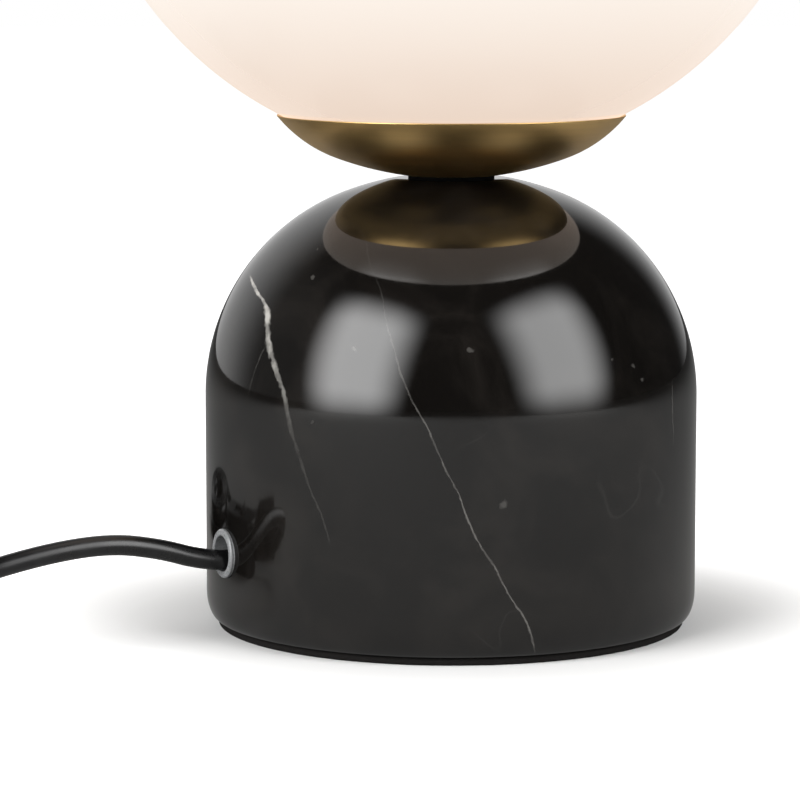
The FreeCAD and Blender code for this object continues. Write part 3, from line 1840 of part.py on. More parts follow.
def make_plug_pins():
    """Two round pins, thinner where the sleeve sits, with rounded tips."""
    pins = []
    for number, x in enumerate(pin_places(), start=1):
        waist = pin_waist()
        length = size("pin_root") + size("pin_length")
        tip = size("pin_radius")
        sleeve_end = size("pin_root") + size("sleeve_length")
        body = turned(
            f"plug_pin_{number}",
            [
                (NOTHING, NOTHING),
                (waist, NOTHING),
                (waist, sleeve_end),
                (tip, sleeve_end),
                (tip, length - tip / 2),
                (tip / 2, length),
                (NOTHING, length),
            ],
        )
        pins.append(
            place(
                body,
                x,
                plug_front() + size("pin_root"),
                size("plug_height") / 2,
                FreeCAD.Rotation(FreeCAD.Vector(1, 0, 0), 90),
            )
        )
    return together("plug_pins", pins)


def make_pin_sleeves():
    sleeves = []
    for number, x in enumerate(pin_places(), start=1):
        waist = pin_waist() + size("thread_gap") / 2
        outer = rod(
            f"pin_sleeve_outer_{number}",
            size("pin_radius"),
            size("sleeve_length"),
            x,
            plug_front() - size("sleeve_length"),
            size("plug_height") / 2,
            ALONG_Y,
        )
        inner = rod(
            f"pin_sleeve_inner_{number}",
            waist,
            size("sleeve_length"),
            x,
            plug_front() - size("sleeve_length"),
            size("plug_height") / 2,
            ALONG_Y,
        )
        sleeves.append(without(f"pin_sleeve_{number}", outer, inner))
    return together("pin_sleeves", sleeves)


def make_plug_relief():
    """A tapered, ribbed sleeve behind the plug's body."""
    length = size("relief_length")
    back, tip = size("relief_back_radius"), size("relief_tip_radius")
    bore = size("cord_diameter") / 2 + size("thread_gap")
    corners = [(bore, NOTHING), (back, NOTHING)]
    for number in range(RELIEF_RIBS):
        share = (number + 1) / (RELIEF_RIBS + 1)
        here = back + (tip - back) * share
        start = length * share
        corners.append((here, start - RIB_HALF))
        corners.append((here - RIB_DEPTH, start - RIB_HALF))
        corners.append((here - RIB_DEPTH, start + RIB_HALF))
        corners.append((here, start + RIB_HALF))
    corners += [(tip, length), (bore, length)]
    body = turned("plug_relief", corners)
    return place(
        body,
        size("plug_x"),
        size("plug_back"),
        size("plug_height") / 2,
        FreeCAD.Rotation(FreeCAD.Vector(1, 0, 0), -90),
    )


RELIEF_RIBS = 5
RIB_HALF = as_size(0.9)
RIB_DEPTH = as_size(0.9)


# ---------------------------------------------------------------------------------
# The whole lamp
# ---------------------------------------------------------------------------------
finish(make_marble_base(), "marble_base")
finish(make_base_pad(), "base_pad")
finish(make_cable_grommet(), "cable_grommet")
finish(make_threaded_tube(), "threaded_tube")
finish(make_under_washer(), "base_washer")
finish(
    hex_nut("base_nut_hex", nut_under),
    "base_nut",
)
finish(make_cord_grip(), "cord_grip")
finish(make_cord_grip_screw(), "cord_grip_screw")
finish(make_dish_seat_washer(), "dish_seat_washer")
finish(make_brass_dish(), "brass_dish")
finish(make_dish_washer(), "dish_washer")
finish(hex_nut("dish_nut_hex", nut_seat), "dish_nut")
finish(make_globe_gasket(), "globe_gasket")
finish(make_clip_spider(), "clip_spider")
for clip_number, clip_angle in enumerate(clip_angles(), start=1):
    finish(make_clip(clip_number, clip_angle), f"globe_clip_{clip_number}")
finish(make_clip_rivets(), "clip_rivets")
finish(make_holder_cap(), "holder_cap")
finish(make_holder_skirt(), "holder_skirt")
finish(make_holder_core(), "holder_core")
finish(make_screw_shell(), "screw_shell")
finish(make_centre_contact(), "centre_contact")
finish(make_terminals(), "holder_terminals")
finish(make_terminal_screws(), "terminal_screws")
finish(make_glass_globe(), "glass_globe")
finish(make_bulb_cap(), "bulb_cap")
finish(make_bulb_insulator(), "bulb_insulator")
finish(make_bulb_contact(), "bulb_contact")
finish(make_bulb_housing(), "bulb_housing")
finish(make_led_board(), "led_board")
finish(make_led_chips(), "led_chips")
finish(make_bulb_driver(), "bulb_driver")
finish(make_bulb_diffuser(), "bulb_diffuser")
finish(make_inner_cord(), "inner_cord")
finish(make_wire("live_wire", -1, size("live_terminal")), "live_wire")
finish(make_wire("neutral_wire", 1, size("neutral_terminal")), "neutral_wire")

finish(make_cord("cord_lead", LEAD_ROUTE, cord_radius), "cord_lead")
coil_item, coil_in, coil_in_way, coil_out, coil_out_way = make_coil()
finish(coil_item, "cord_coil")
MIDDLE_ROUTE = [
    FreeCAD.Vector(switch_x, switch_back, switch_level),
    FreeCAD.Vector(switch_x, switch_back + cord_width * 1.85, switch_level),
    coil_in - coil_in_way * ((coil_in.x - switch_x) / coil_in_way.x),
    coil_in,
]
finish(make_cord("cord_middle", MIDDLE_ROUTE, cord_radius), "cord_middle")
relief_tip = float(size("plug_back")) + float(size("relief_length"))
TAIL_ROUTE = [
    coil_out,
    coil_out + coil_out_way * (cord_width * 2.96),
    FreeCAD.Vector(plug_x + cord_width * 0.06, relief_tip + cord_width * 8.15, cord_width * 1.04),
    FreeCAD.Vector(plug_x + cord_width * 0.11, relief_tip + cord_width * 3.7, cord_width * 0.89),
    FreeCAD.Vector(plug_x, relief_tip + cord_width * 1.67, plug_level),
    FreeCAD.Vector(plug_x, relief_tip, plug_level),
]
finish(make_cord("cord_tail", TAIL_ROUTE, cord_radius), "cord_tail")

switch_room = switch_cord_room()
finish(make_switch_base(switch_room), "switch_base")
finish(make_switch_cover(switch_room), "switch_cover")
finish(make_switch_screws(), "switch_screws")
finish(make_rocker_pin(), "rocker_pin")
finish(make_switch_rocker(), "switch_rocker")
finish(make_rocker_contact(), "rocker_contact")
finish(make_switch_contacts(), "switch_contacts")
finish(make_plug_body(), "plug_body")
finish(make_plug_pins(), "plug_pins")
finish(make_pin_sleeves(), "pin_sleeves")
finish(make_plug_relief(), "plug_relief")

doc.recompute()
faults = [
    item.Label
    for item in doc.Objects
    if "Invalid" in item.State or "Error" in item.State
]
faults += [
    item.Label for item in finished if item.Shape.isNull() or not item.Shape.isValid()
]
if faults:
    raise RuntimeError(f"These pieces failed: {sorted(set(faults))}")

os.makedirs("parts", exist_ok=True)
for item in finished:
    item.Shape.exportStep(f"parts/{item.Label}.step")
    print(f"{item.Label}: {item.Shape.Volume:.1f} mm3, {len(item.Shape.Solids)} solid(s)")
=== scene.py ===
"""A glass globe table lamp: opal globe, brass dish, marble base, cord, switch and plug."""

import math

import bpy
import numpy as np
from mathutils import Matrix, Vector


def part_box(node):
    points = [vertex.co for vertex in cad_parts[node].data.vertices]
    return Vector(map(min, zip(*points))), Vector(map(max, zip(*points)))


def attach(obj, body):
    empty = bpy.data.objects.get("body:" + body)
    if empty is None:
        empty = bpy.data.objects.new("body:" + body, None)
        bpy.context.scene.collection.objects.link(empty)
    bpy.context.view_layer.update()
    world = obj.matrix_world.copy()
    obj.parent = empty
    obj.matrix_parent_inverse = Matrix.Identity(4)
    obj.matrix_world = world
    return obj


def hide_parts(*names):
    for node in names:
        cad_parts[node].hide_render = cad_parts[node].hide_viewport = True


bl_info = {
    "name": "Globe Table Lamp",
    "version": (1, 0, 0),
    "blender": (4, 5, 0),
    "location": "View3D > Sidebar > Lamp",
    "description": "Dresses the pieces of a glass globe table lamp",
    "category": "Object",
}

PHOTO_WIDTH = 800
TURN = 2 * math.pi
UV_PER_METRE = 4  # the UV map's run along a profile
RUN_UNIT = 1000 / UV_PER_METRE  # millimetres of profile in one unit of the UV map
EXIT_TURN = math.radians(64.0)  # the cord hole's turn to the left of the front

FOOT_SINK = 0.001  # the pad shows this much less than its solid's height
FOOT_ROUND_IN, FOOT_ROUND_UP = 0.0031, 0.0072
BORE_RADIUS, BORE_EDGE = 0.0055, 0.0004
CORD_HOLE_RADIUS = 0.0057
WINDOW_HALF = 0.012  # window round the cord hole, half its height
WINDOW_COLUMNS, MARBLE_COLUMNS = 12, 256  # half the window's width, and a full turn
THREAD_PITCH, THREAD_FADE = 0.003629, 0.0015
COIL_PITCH, COIL_TURNS, COIL_REACH, COIL_CLIMB = 0.0061, 3.34, 0.0324, 0.006

PHOTO_FOCUS = 3616.4  # the photo's focal length in its own pixels
CAMERA_BACK, CAMERA_HEIGHT = 0.96311, 0.18522
CAMERA_DIP, CAMERA_YAW = 0.1294, 0.01418
WASH_START, WASH_FULL = 0.06, 0.16  # distances from the lamp's axis
ROOM_LIGHT, BACK_LIGHT, LEFT_LIGHT = 0.02, 0.75, 0.12
SOFT_EDGES = (0.38, 0.30)  # shares of a softbox's width and height
AIM = (0, 0, 0.10)

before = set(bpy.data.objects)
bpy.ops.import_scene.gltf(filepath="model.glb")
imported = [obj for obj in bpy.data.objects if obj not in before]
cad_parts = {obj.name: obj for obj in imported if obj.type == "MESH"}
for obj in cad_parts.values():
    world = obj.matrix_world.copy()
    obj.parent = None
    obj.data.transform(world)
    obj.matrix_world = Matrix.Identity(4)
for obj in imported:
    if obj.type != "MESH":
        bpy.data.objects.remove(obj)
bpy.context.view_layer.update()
exit_way = np.array([-math.sin(EXIT_TURN), -math.cos(EXIT_TURN), 0.0])
side_way = np.array([-exit_way[1], exit_way[0], 0.0])


# --------------------------------------------------------------------------------
# Settings that a user would change
# --------------------------------------------------------------------------------
def length(name, default, description):
    return bpy.props.FloatProperty(
        name=name, default=default, description=description, unit="LENGTH", precision=4
    )


def colour(name, default, description):
    return bpy.props.FloatVectorProperty(
        name=name, default=default, description=description, subtype="COLOR", min=0, max=1
    )


class LampSizes(bpy.types.PropertyGroup):
    """Sizes of the lamp's turned pieces."""

    base_radius: length("Base radius", 0.0658, "Marble base, half its diameter")
    seat_height: length("Seat height", 0.1196, "Height of the flat on the marble's crown")
    seat_radius: length("Seat radius", 0.0155, "Flat on the crown, half its diameter")
    shoulder_radius: length("Shoulder", 0.057904, "Radius of the marble's shoulder")
    crown_radius: length("Crown", 0.081, "Radius of the marble's crown")
    hollow_radius: length("Hollow", 0.046, "Hollow under the base, half its diameter")
    hollow_top: length("Hollow top", 0.066, "Height of the hollow's ceiling")
    pad_radius: length("Pad radius", 0.0627, "Felt pad, half its diameter")
    pad_height: length("Pad height", 0.003, "Felt pad's thickness")
    exit_height: length("Cord hole height", 0.023, "Height of the cord hole's axis")
    globe_radius: length("Globe radius", 0.1, "Glass globe, half its diameter")
    globe_wall: length("Glass wall", 0.003, "Thickness of the glass")
    globe_middle: length("Globe middle", 0.2255, "Height of the globe's middle")
    mouth_radius: length("Mouth radius", 0.034, "Mouth of the globe, half its diameter")
    rim_radius: length("Dish rim", 0.0464, "Rim of the dish, half its diameter")
    dish_wall: length("Dish wall", 0.0012, "Thickness of the dish's brass")
    cord_diameter: length("Cord", 0.0054, "Diameter of the cord's sheath")


class LampColours(bpy.types.PropertyGroup):
    """Colours of the lamp's finishes."""

    marble: colour("Marble", (0.0035, 0.003, 0.0026), "Ground colour of the black marble")
    vein: colour("Veins", (0.62, 0.60, 0.56), "Colour of the marble's veins")
    brass: colour("Brass", (0.76, 0.505, 0.20), "Brushed brass")
    glow: colour("Glow", (0.95, 0.88, 0.81), "Light of the opal glass")
    # painted shade: the glass's light by the dish, darker and warmer than its glow
    glow_in_painted_shade: colour("Glow at the rim", (0.80, 0.64, 0.53), "Light of the glass by the dish")
    cord: colour("Cord", (0.003, 0.003, 0.0033), "Cord's sheath")
    switch: colour("Switch", (0.009, 0.009, 0.01), "Switch and plug")


# --------------------------------------------------------------------------------
# Surfaces
# --------------------------------------------------------------------------------
def skin(name, grids, crease=32.0):
    """One mesh from grids of points.

    Each grid is (points, places): rows by columns of points in space, and of places in
    the UV map.  A face spans four neighbours (i, j), (i, j+1), (i+1, j+1), (i+1, j).
    Points that coincide are joined, which closes seams and turns a row that is all one
    point into a pole.  Its faces look along (change with j) x (change with i).
    """
    spots, corners, places, count = [], [], [], 0
    for points, uv in grids:
        rows, columns = points.shape[:2]
        number = np.arange(rows * columns).reshape(rows, columns) + count
        count += rows * columns
        spots.append(points.reshape(-1, 3))
        for store, table in ((corners, number), (places, uv)):
            four = (table[:-1, :-1], table[:-1, 1:], table[1:, 1:], table[1:, :-1])
            store.append(np.stack(four, axis=2).reshape((-1, 4) + table.shape[2:]))
    spots = np.concatenate(spots)
    corners, places = np.concatenate(corners), np.concatenate(places)
    key = np.round(spots * 1e6 + 0.217).astype(np.int64)
    first, joined = np.unique(key, axis=0, return_index=True, return_inverse=True)[1:]
    corners = joined.reshape(-1)[corners]
    spots = spots[first]
    faces, spread = [], []
    open_side = np.full(len(corners), True)
    for side in range(4):
        shut = (corners[:, side] == corners[:, (side + 1) % 4]) & open_side
        kept = [other for other in range(4) if other != side]
        opposite = corners[:, (side + 2) % 4] != corners[:, (side + 3) % 4]
        faces += corners[shut & opposite][:, kept].tolist()
        spread.append(places[shut & opposite][:, kept].reshape(-1, 2))
        open_side &= ~shut
    faces += corners[open_side].tolist()
    spread.append(places[open_side].reshape(-1, 2))
    mesh = bpy.data.meshes.new(name)
    mesh.from_pydata(spots.tolist(), [], faces)
    layer = mesh.uv_layers.new(name="Surface")
    layer.uv.foreach_set("vector", np.concatenate(spread).astype(np.float32).ravel())
    mesh.validate()
    mesh.polygons.foreach_set("use_smooth", np.full(len(mesh.polygons), True))
    mesh.set_sharp_from_angle(angle=math.radians(crease))
    piece = bpy.data.objects.new(name, mesh)
    bpy.context.scene.collection.objects.link(piece)
    return piece


def arc(middle, radius, start, end, steps):
    """Places on a circle's arc: middle + radius * (cos a, sin a), a from start to end degrees."""
    angle = np.radians(np.linspace(start, end, steps + 1))
    return np.stack([middle[0] + radius * np.cos(angle), middle[1] + radius * np.sin(angle)], 1)


def line(start, end, steps=1):
    """Places on a straight run: start + (end - start) * t."""
    share = np.linspace(0, 1, steps + 1)[:, None]
    return np.array(start) * (1 - share) + np.array(end) * share


def path(*runs):
    """Runs of a profile one after the other, each place once."""
    every = np.concatenate([np.atleast_2d(np.array(run, float)) for run in runs])
    step = np.linalg.norm(np.diff(every, axis=0), axis=1)
    return every[np.concatenate([[True], step > 1e-7])]


def soft_path(corners, round_off, steps=4):
    """A closed profile whose corners are rounded: each corner P becomes the curve
    (1-t)^2 A + 2 t (1-t) P + t^2 B between places A and B on its two sides."""
    corner = np.array(corners, float)
    back, ahead = np.roll(corner, 1, 0) - corner, np.roll(corner, -1, 0) - corner
    back_length = np.linalg.norm(back, axis=1)[:, None]
    ahead_length = np.linalg.norm(ahead, axis=1)[:, None]
    reach = np.minimum(round_off, 0.45 * np.minimum(back_length, ahead_length))
    reach[(corner[:, 0] < 1e-7), :] = 0
    before, after = corner + back / back_length * reach, corner + ahead / ahead_length * reach
    t = np.linspace(0, 1, steps + 1)[None, :, None]
    curve = (1 - t) ** 2 * before[:, None] + 2 * t * (1 - t) * corner[:, None]
    curve = (curve + t**2 * after[:, None]).reshape(-1, 2)
    return path(curve, curve[:1])


def lathe(profile, columns=160, start=0.0):
    """A profile (r, z) turned about the Z axis: (r cos a, r sin a, z).

    The profile runs up on the outside and down on the inside.  The UV map holds the
    share of a turn from the front and the run along the profile, four to a metre.
    """
    angle = np.radians(start) + np.linspace(0, TURN, columns + 1)
    angle[-1] = angle[0]
    radius, height = profile[:, 0:1], profile[:, 1:2]
    points = np.stack(
        [radius * np.cos(angle), radius * np.sin(angle), height + 0 * angle], axis=2
    )
    run = np.concatenate([[0], np.cumsum(np.linalg.norm(np.diff(profile, axis=0), axis=1))])
    share = np.radians(start) / TURN + 0.75 + np.linspace(0, 1, columns + 1)
    uv = np.stack(np.broadcast_arrays(share[None, :], run[:, None] * UV_PER_METRE), axis=2)
    return points, uv


def dressed(piece, body, material, *nodes):
    """Rides a piece on its body in place of the CAD nodes, with a finish."""
    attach(piece, body)
    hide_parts(*nodes)
    if not piece.data.materials:
        piece.data.materials.append(material)
    return piece


def finish_nodes(material, *nodes):
    """Gives CAD nodes whose shape is right their finish."""
    for node in nodes:
        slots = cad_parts[node].data.materials
        slots.clear()
        slots.append(material)


# --------------------------------------------------------------------------------
# Materials
# --------------------------------------------------------------------------------
class Nodes:
    """A material's node tree, written as sums."""

    def __init__(self, name):
        self.material = bpy.data.materials.get(name) or bpy.data.materials.new(name)
        self.material.use_nodes = True
        self.tree = self.material.node_tree
        self.tree.nodes.clear()
        self.output = self.add("ShaderNodeOutputMaterial")

    def add(self, kind, **settings):
        node = self.tree.nodes.new(kind)
        for name, value in settings.items():
            setattr(node, name, value)
        return node

    def put(self, socket, value):
        if isinstance(value, bpy.types.NodeSocket):
            self.tree.links.new(value, socket)
        else:
            socket.default_value = value

    def math(self, operation, first, second=0.0):
        node = self.add("ShaderNodeMath", operation=operation)
        self.put(node.inputs[0], first)
        self.put(node.inputs[1], second)
        return node.outputs[0]

    def object_place(self):
        return self.add("ShaderNodeTexCoord").outputs["Object"]

    def object_axes(self):
        split = self.add("ShaderNodeSeparateXYZ")
        self.put(split.inputs[0], self.object_place())
        return split.outputs

    def distance(self, first, second):
        """sqrt(first^2 + second^2)."""
        squares = [self.math("MULTIPLY", value, value) for value in (first, second)]
        return self.math("SQRT", self.math("ADD", *squares))

    def ramp(self, value, low, high, at_low=0.0, at_high=1.0):
        node = self.add("ShaderNodeMapRange", interpolation_type="SMOOTHSTEP")
        for index, number in enumerate((value, low, high, at_low, at_high)):
            self.put(node.inputs[index], number)
        return node.outputs[0]

    def noise(self, scale, detail=3.0, place=None, rough=0.5, bend=0.0):
        node = self.add("ShaderNodeTexNoise")
        self.put(node.inputs["Vector"], place or self.object_place())
        for name, number in (
            ("Scale", scale),
            ("Detail", detail),
            ("Roughness", rough),
            ("Distortion", bend),
        ):
            node.inputs[name].default_value = number
        return node.outputs["Fac"]

    def mix(self, share, first, second):
        node = self.add("ShaderNodeMix", data_type="RGBA")
        self.put(node.inputs["Factor"], share)
        self.put(node.inputs["A"], first)
        self.put(node.inputs["B"], second)
        return node.outputs["Result"]

    def bump(self, height, strength, distance):
        node = self.add("ShaderNodeBump")
        node.inputs["Strength"].default_value = strength
        node.inputs["Distance"].default_value = distance
        self.put(node.inputs["Height"], height)
        return node.outputs[0]

    def shader(self, **values):
        node = self.add("ShaderNodeBsdfPrincipled")
        for name, value in values.items():
            self.put(node.inputs[name.replace("_", " ")], value)
        self.tree.links.new(node.outputs[0], self.output.inputs["Surface"])
        return node

    def circle_place(self, along, around):
        """Object place as (radius, height, turn), stretched along the circles."""
        x, y, z = self.object_axes()
        radius = self.distance(x, y)
        turn = self.math("ARCTAN2", x, y)
        place = self.add("ShaderNodeCombineXYZ")
        self.put(place.inputs[0], self.math("MULTIPLY", radius, along))
        self.put(place.inputs[1], self.math("MULTIPLY", z, along))
        self.put(place.inputs[2], self.math("MULTIPLY", turn, around))
        return place.outputs[0]


def rgba(value, share=1.0):
    return (value[0] * share, value[1] * share, value[2] * share, 1.0)


def plain(name, tint, rough, metal=0.0, grain=400.0, spread=0.25, **more):
    """A finish with a faint cloud in its colour, a grain in its gloss and a fine bump."""
    made = Nodes(name)
    cloud = made.noise(grain * 0.08, 4.0)
    fine = made.noise(grain, 3.0)
    tone = made.mix(cloud, rgba(tint, 1 - spread), rgba(tint, 1 + spread))
    gloss = made.ramp(fine, 0.3, 0.7, rough * 0.8, min(rough * 1.25, 1.0))
    made.shader(
        Base_Color=tone,
        Roughness=gloss,
        Metallic=metal,
        Normal=made.bump(fine, 0.35, 0.00004),
        **more,
    )
    return made.material


MAIN_VEIN = [
    (97.0, -74.6), (92.1, -60.5), (88.8, -53.5), (82.3, -49.7), (76.7, -46.3), (66.9, -40.5),
    (56.2, -37.6), (48.7, -34.8), (43.5, -33.0), (35.9, -29.6), (27.9, -27.0),
]
BRANCH_VEIN = [(79.2, -48.4), (78.6, -48.8), (73.2, -50.8), (67.5, -52.2), (61.3, -53.9)]
LONG_VEIN = [
    (118.0, -42.0), (114.1, -32.0), (103.5, -23.9), (96.8, -19.3), (87.5, -15.9), (75.9, -11.9),
    (67.6, -8.6), (60.6, -5.2), (50.5, -1.3), (44.5, 1.4), (37.3, 3.8), (30.9, 6.5),
    (24.5, 10.0), (17.6, 13.2), (11.3, 16.9), (4.5, 18.9), (0.0, 20.1),
]
EDGE_VEIN = [(69.0, 61.4), (67.4, 61.1), (60.7, 60.7), (53.5, 61.8), (50.0, 61.5)]
BACK_VEIN = [
    (0.0, 118.0), (14.0, 124.0), (28.0, 127.0), (41.0, 136.0), (55.0, 139.0), (68.0, 150.0),
    (80.0, 153.0), (92.0, 163.0), (104.0, 168.0),
]
BACK_BRANCH = [(55.0, 139.0), (47.0, 146.0), (36.0, 149.0), (24.0, 157.0), (12.0, 159.0)]
SIDE_VEIN = [
    (8.0, -128.0), (20.0, -134.0), (34.0, -137.0), (47.0, -147.0), (60.0, -150.0), (73.0, -161.0),
    (90.0, -166.0), (108.0, -176.0),
]
SPECKS = [
    (64.0, -56.0, 1.3), (60.9, -32.1, 1.1), (41.1, 11.8, 1.6), (80.6, 4.2, 0.9),
    (75.8, 40.0, 0.8), (74.0, 46.2, 0.9), (70.1, 48.8, 0.8), (98.7, -41.6, 0.9),
    (107.5, -45.8, 1.0), (80.0, -22.7, 1.2), (52.0, 96.0, 1.3), (30.0, 171.0, 1.5),
    (71.0, -108.0, 1.1), (24.0, -97.0, 1.0), (86.0, 118.0, 1.2),
]


def marble_material():
    """Polished black marble: each vein is a curve, turn from the front as a function of the
    run up the profile, whose distance to the surface point gives a soft-edged line."""
    colours = bpy.context.scene.lamp_colours
    made = Nodes("polished_black_marble")
    uv = made.add("ShaderNodeUVMap", uv_map="Surface")
    split = made.add("ShaderNodeSeparateXYZ")
    made.put(split.inputs[0], uv.outputs[0])
    turn = made.math("FRACT", split.outputs[0])
    run = split.outputs[1]
    x, y = made.object_axes()[:2]
    girth = made.math("MULTIPLY", made.distance(x, y), TURN * 1000)
    wobble = made.math("SUBTRACT", made.noise(90.0, 4.0, rough=0.65), 0.5)
    shiver = made.math("SUBTRACT", made.noise(420.0, 3.0), 0.5)
    broken = made.ramp(made.noise(170.0, 4.0, rough=0.7), 0.38, 0.6, 0.45, 1.0)

    def vein(points, wide, narrow, high_tone, low_tone, sway=2.4):
        low, high = min(p[0] for p in points), max(p[0] for p in points)
        node = made.add("ShaderNodeFloatCurve")
        curve = node.mapping.curves[0]
        sorted_points = sorted((p[0] / RUN_UNIT, p[1] / 360 + 0.5) for p in points)
        curve.points[0].location = sorted_points[0]
        curve.points[1].location = sorted_points[-1]
        for place in sorted_points[1:-1]:
            curve.points.new(*place)
        node.mapping.update()
        made.put(node.inputs["Value"], run)
        off = made.math("SUBTRACT", turn, node.outputs[0])
        off = made.math("MULTIPLY", off, girth)
        off = made.math("ADD", off, made.math("MULTIPLY", wobble, sway))
        off = made.math("ADD", off, made.math("MULTIPLY", shiver, sway * 0.35))
        off = made.math("ABSOLUTE", off)
        width = made.ramp(run, low / RUN_UNIT, high / RUN_UNIT, narrow, wide)
        width = made.math("MULTIPLY", width, made.ramp(shiver, -0.2, 0.2, 0.55, 1.3))
        mask = made.math("DIVIDE", off, width)
        mask = made.ramp(mask, 1.25, 0.35)
        ends = made.math(
            "MULTIPLY",
            made.ramp(run, low / RUN_UNIT, (low + 5) / RUN_UNIT),
            made.ramp(run, high / RUN_UNIT, (high - 2) / RUN_UNIT),
        )
        span = high - low
        dim, bright = (low + span * 0.35) / RUN_UNIT, (low + span * 0.9) / RUN_UNIT
        tone = made.ramp(run, dim, bright, low_tone, high_tone)
        tone = made.math("MULTIPLY", tone, broken)
        return made.math("MULTIPLY", made.math("MULTIPLY", mask, ends), tone)

    def speck(height, angle, size):
        across = made.math("SUBTRACT", turn, angle / 360 + 0.5)
        across = made.math("MULTIPLY", across, girth)
        along = made.math("SUBTRACT", made.math("MULTIPLY", run, RUN_UNIT), height)
        away = made.distance(across, along)
        away = made.math("ADD", away, made.math("MULTIPLY", shiver, 4.5))
        return made.math("MULTIPLY", made.ramp(away, size * 0.7, size * 0.1), 0.06)

    marks = [
        vein(MAIN_VEIN, 1.35, 0.3, 0.66, 0.035, sway=1.6),
        vein(BRANCH_VEIN, 0.30, 0.22, 0.05, 0.03, sway=1.0),
        vein(LONG_VEIN, 0.24, 0.30, 0.012, 0.15, sway=1.4),
        vein(EDGE_VEIN, 0.25, 0.2, 0.08, 0.08),
        vein(BACK_VEIN, 0.9, 0.35, 0.6, 0.2),
        vein(BACK_BRANCH, 0.3, 0.2, 0.2, 0.08),
        vein(SIDE_VEIN, 0.3, 0.6, 0.1, 0.4),
    ]
    marks += [speck(*one) for one in SPECKS]
    pattern = marks[0]
    for mark in marks[1:]:
        pattern = made.math("MAXIMUM", pattern, mark)
    cloud = made.ramp(made.noise(38.0, 6.0, rough=0.6, bend=0.8), 0.42, 0.72)
    hair = made.math("ABSOLUTE", made.math("SUBTRACT", made.noise(21.0, 2.0, bend=0.6), 0.5))
    hair = made.math("MULTIPLY", made.ramp(hair, 0.004, 0.0006), 0.012)
    hair = made.math("MULTIPLY", hair, made.ramp(made.noise(14.0, 2.0), 0.54, 0.66))
    pattern = made.math("MAXIMUM", pattern, hair)
    ground = made.mix(cloud, rgba(colours.marble), rgba(colours.marble, 2.6))
    tone = made.mix(pattern, ground, rgba(colours.vein))
    made.shader(
        Base_Color=tone,
        Roughness=made.ramp(made.noise(700.0, 2.0), 0.3, 0.7, 0.045, 0.075),
        IOR=1.52,
        Normal=made.bump(made.noise(260.0, 3.0), 0.06, 0.00002),
    )
    return made.material


def brass_material():
    """Brass spun on a lathe: noise stretched along circles drives bump, gloss and tone."""
    tint, rough, brushed = bpy.context.scene.lamp_colours.brass, 0.35, 0.45
    made = Nodes("brushed_brass")
    lines = made.noise(1.0, 3.0, made.circle_place(5200.0, 2.0), rough=0.6)
    bands = made.noise(1.0, 4.0, made.circle_place(700.0, 0.8), rough=0.6)
    patina = made.noise(55.0, 5.0, rough=0.62)
    tone = made.mix(bands, rgba(tint, 0.9), rgba(tint, 1.08))
    tone = made.mix(made.ramp(patina, 0.52, 0.8, 0.0, 0.35), tone, rgba(tint, 0.72))
    gloss = made.math("ADD", made.math("MULTIPLY", lines, 0.12), rough - 0.06)
    gloss = made.math("ADD", gloss, made.ramp(patina, 0.5, 0.8, 0.0, 0.06))
    tangent = made.add("ShaderNodeTangent", direction_type="RADIAL", axis="Z")
    made.shader(
        Base_Color=tone,
        Metallic=1.0,
        Roughness=gloss,
        Anisotropic=brushed,
        Tangent=tangent.outputs[0],
        Normal=made.bump(lines, 0.22, 0.00003),
    )
    return made.material


def glass_material():
    """Opal glass with a light of its own, darker and warmer by the dish: painted shade of the
    lampholder and the bulb's base on the globe's lower part.
    """
    colours = bpy.context.scene.lamp_colours
    made = Nodes("opal_glass")
    # painted shade: the glow fades from full at z 0.185 down to the darker, warmer shaded colour at
    # z 0.128 and below
    rise = made.ramp(made.object_axes()[2], 0.128, 0.185)
    cloud = made.noise(30.0, 2.0)
    glow = made.mix(rise, rgba(colours.glow_in_painted_shade), rgba(colours.glow))
    # faint random patches, up to 4 per cent towards the painted-shade colour
    glow = made.mix(made.ramp(cloud, 0.3, 0.7, 0.0, 0.04), glow, rgba(colours.glow_in_painted_shade))
    made.shader(
        Base_Color=(0.05, 0.048, 0.045, 1.0),
        Roughness=made.ramp(made.noise(420.0, 2.0), 0.3, 0.7, 0.16, 0.22),
        IOR=1.4,
        Specular_IOR_Level=0.2,
        Emission_Color=glow,
        Emission_Strength=1.0,
        Normal=made.bump(made.noise(22.0, 2.0), 0.05, 0.0002),
    )
    return made.material


def felt_material():
    """Dark felt: crossed noise of several sizes as fuzz, with hardly any gloss."""
    made = Nodes("dark_felt")
    fuzz = made.noise(2600.0, 4.0, rough=0.8)
    lump = made.noise(500.0, 3.0)
    tone = made.mix(fuzz, (0.003, 0.003, 0.003, 1), (0.022, 0.02, 0.019, 1))
    made.shader(
        Base_Color=tone,
        Roughness=0.95,
        Specular_IOR_Level=0.08,
        Normal=made.bump(made.math("ADD", fuzz, lump), 0.9, 0.0003),
    )
    return made.material


def grommet_material():
    """Milky grey soft plastic."""
    made = Nodes("milky_grommet_plastic")
    cloud = made.noise(500.0, 3.0)
    tone = made.mix(cloud, (0.17, 0.175, 0.18, 1), (0.26, 0.265, 0.27, 1))
    made.shader(
        Base_Color=tone,
        Roughness=made.ramp(made.noise(1500.0, 2.0), 0.3, 0.7, 0.24, 0.36),
        Subsurface_Weight=0.3,
        Subsurface_Radius=(0.002, 0.002, 0.002),
        Subsurface_Scale=0.5,
        Normal=made.bump(cloud, 0.2, 0.00004),
    )
    return made.material


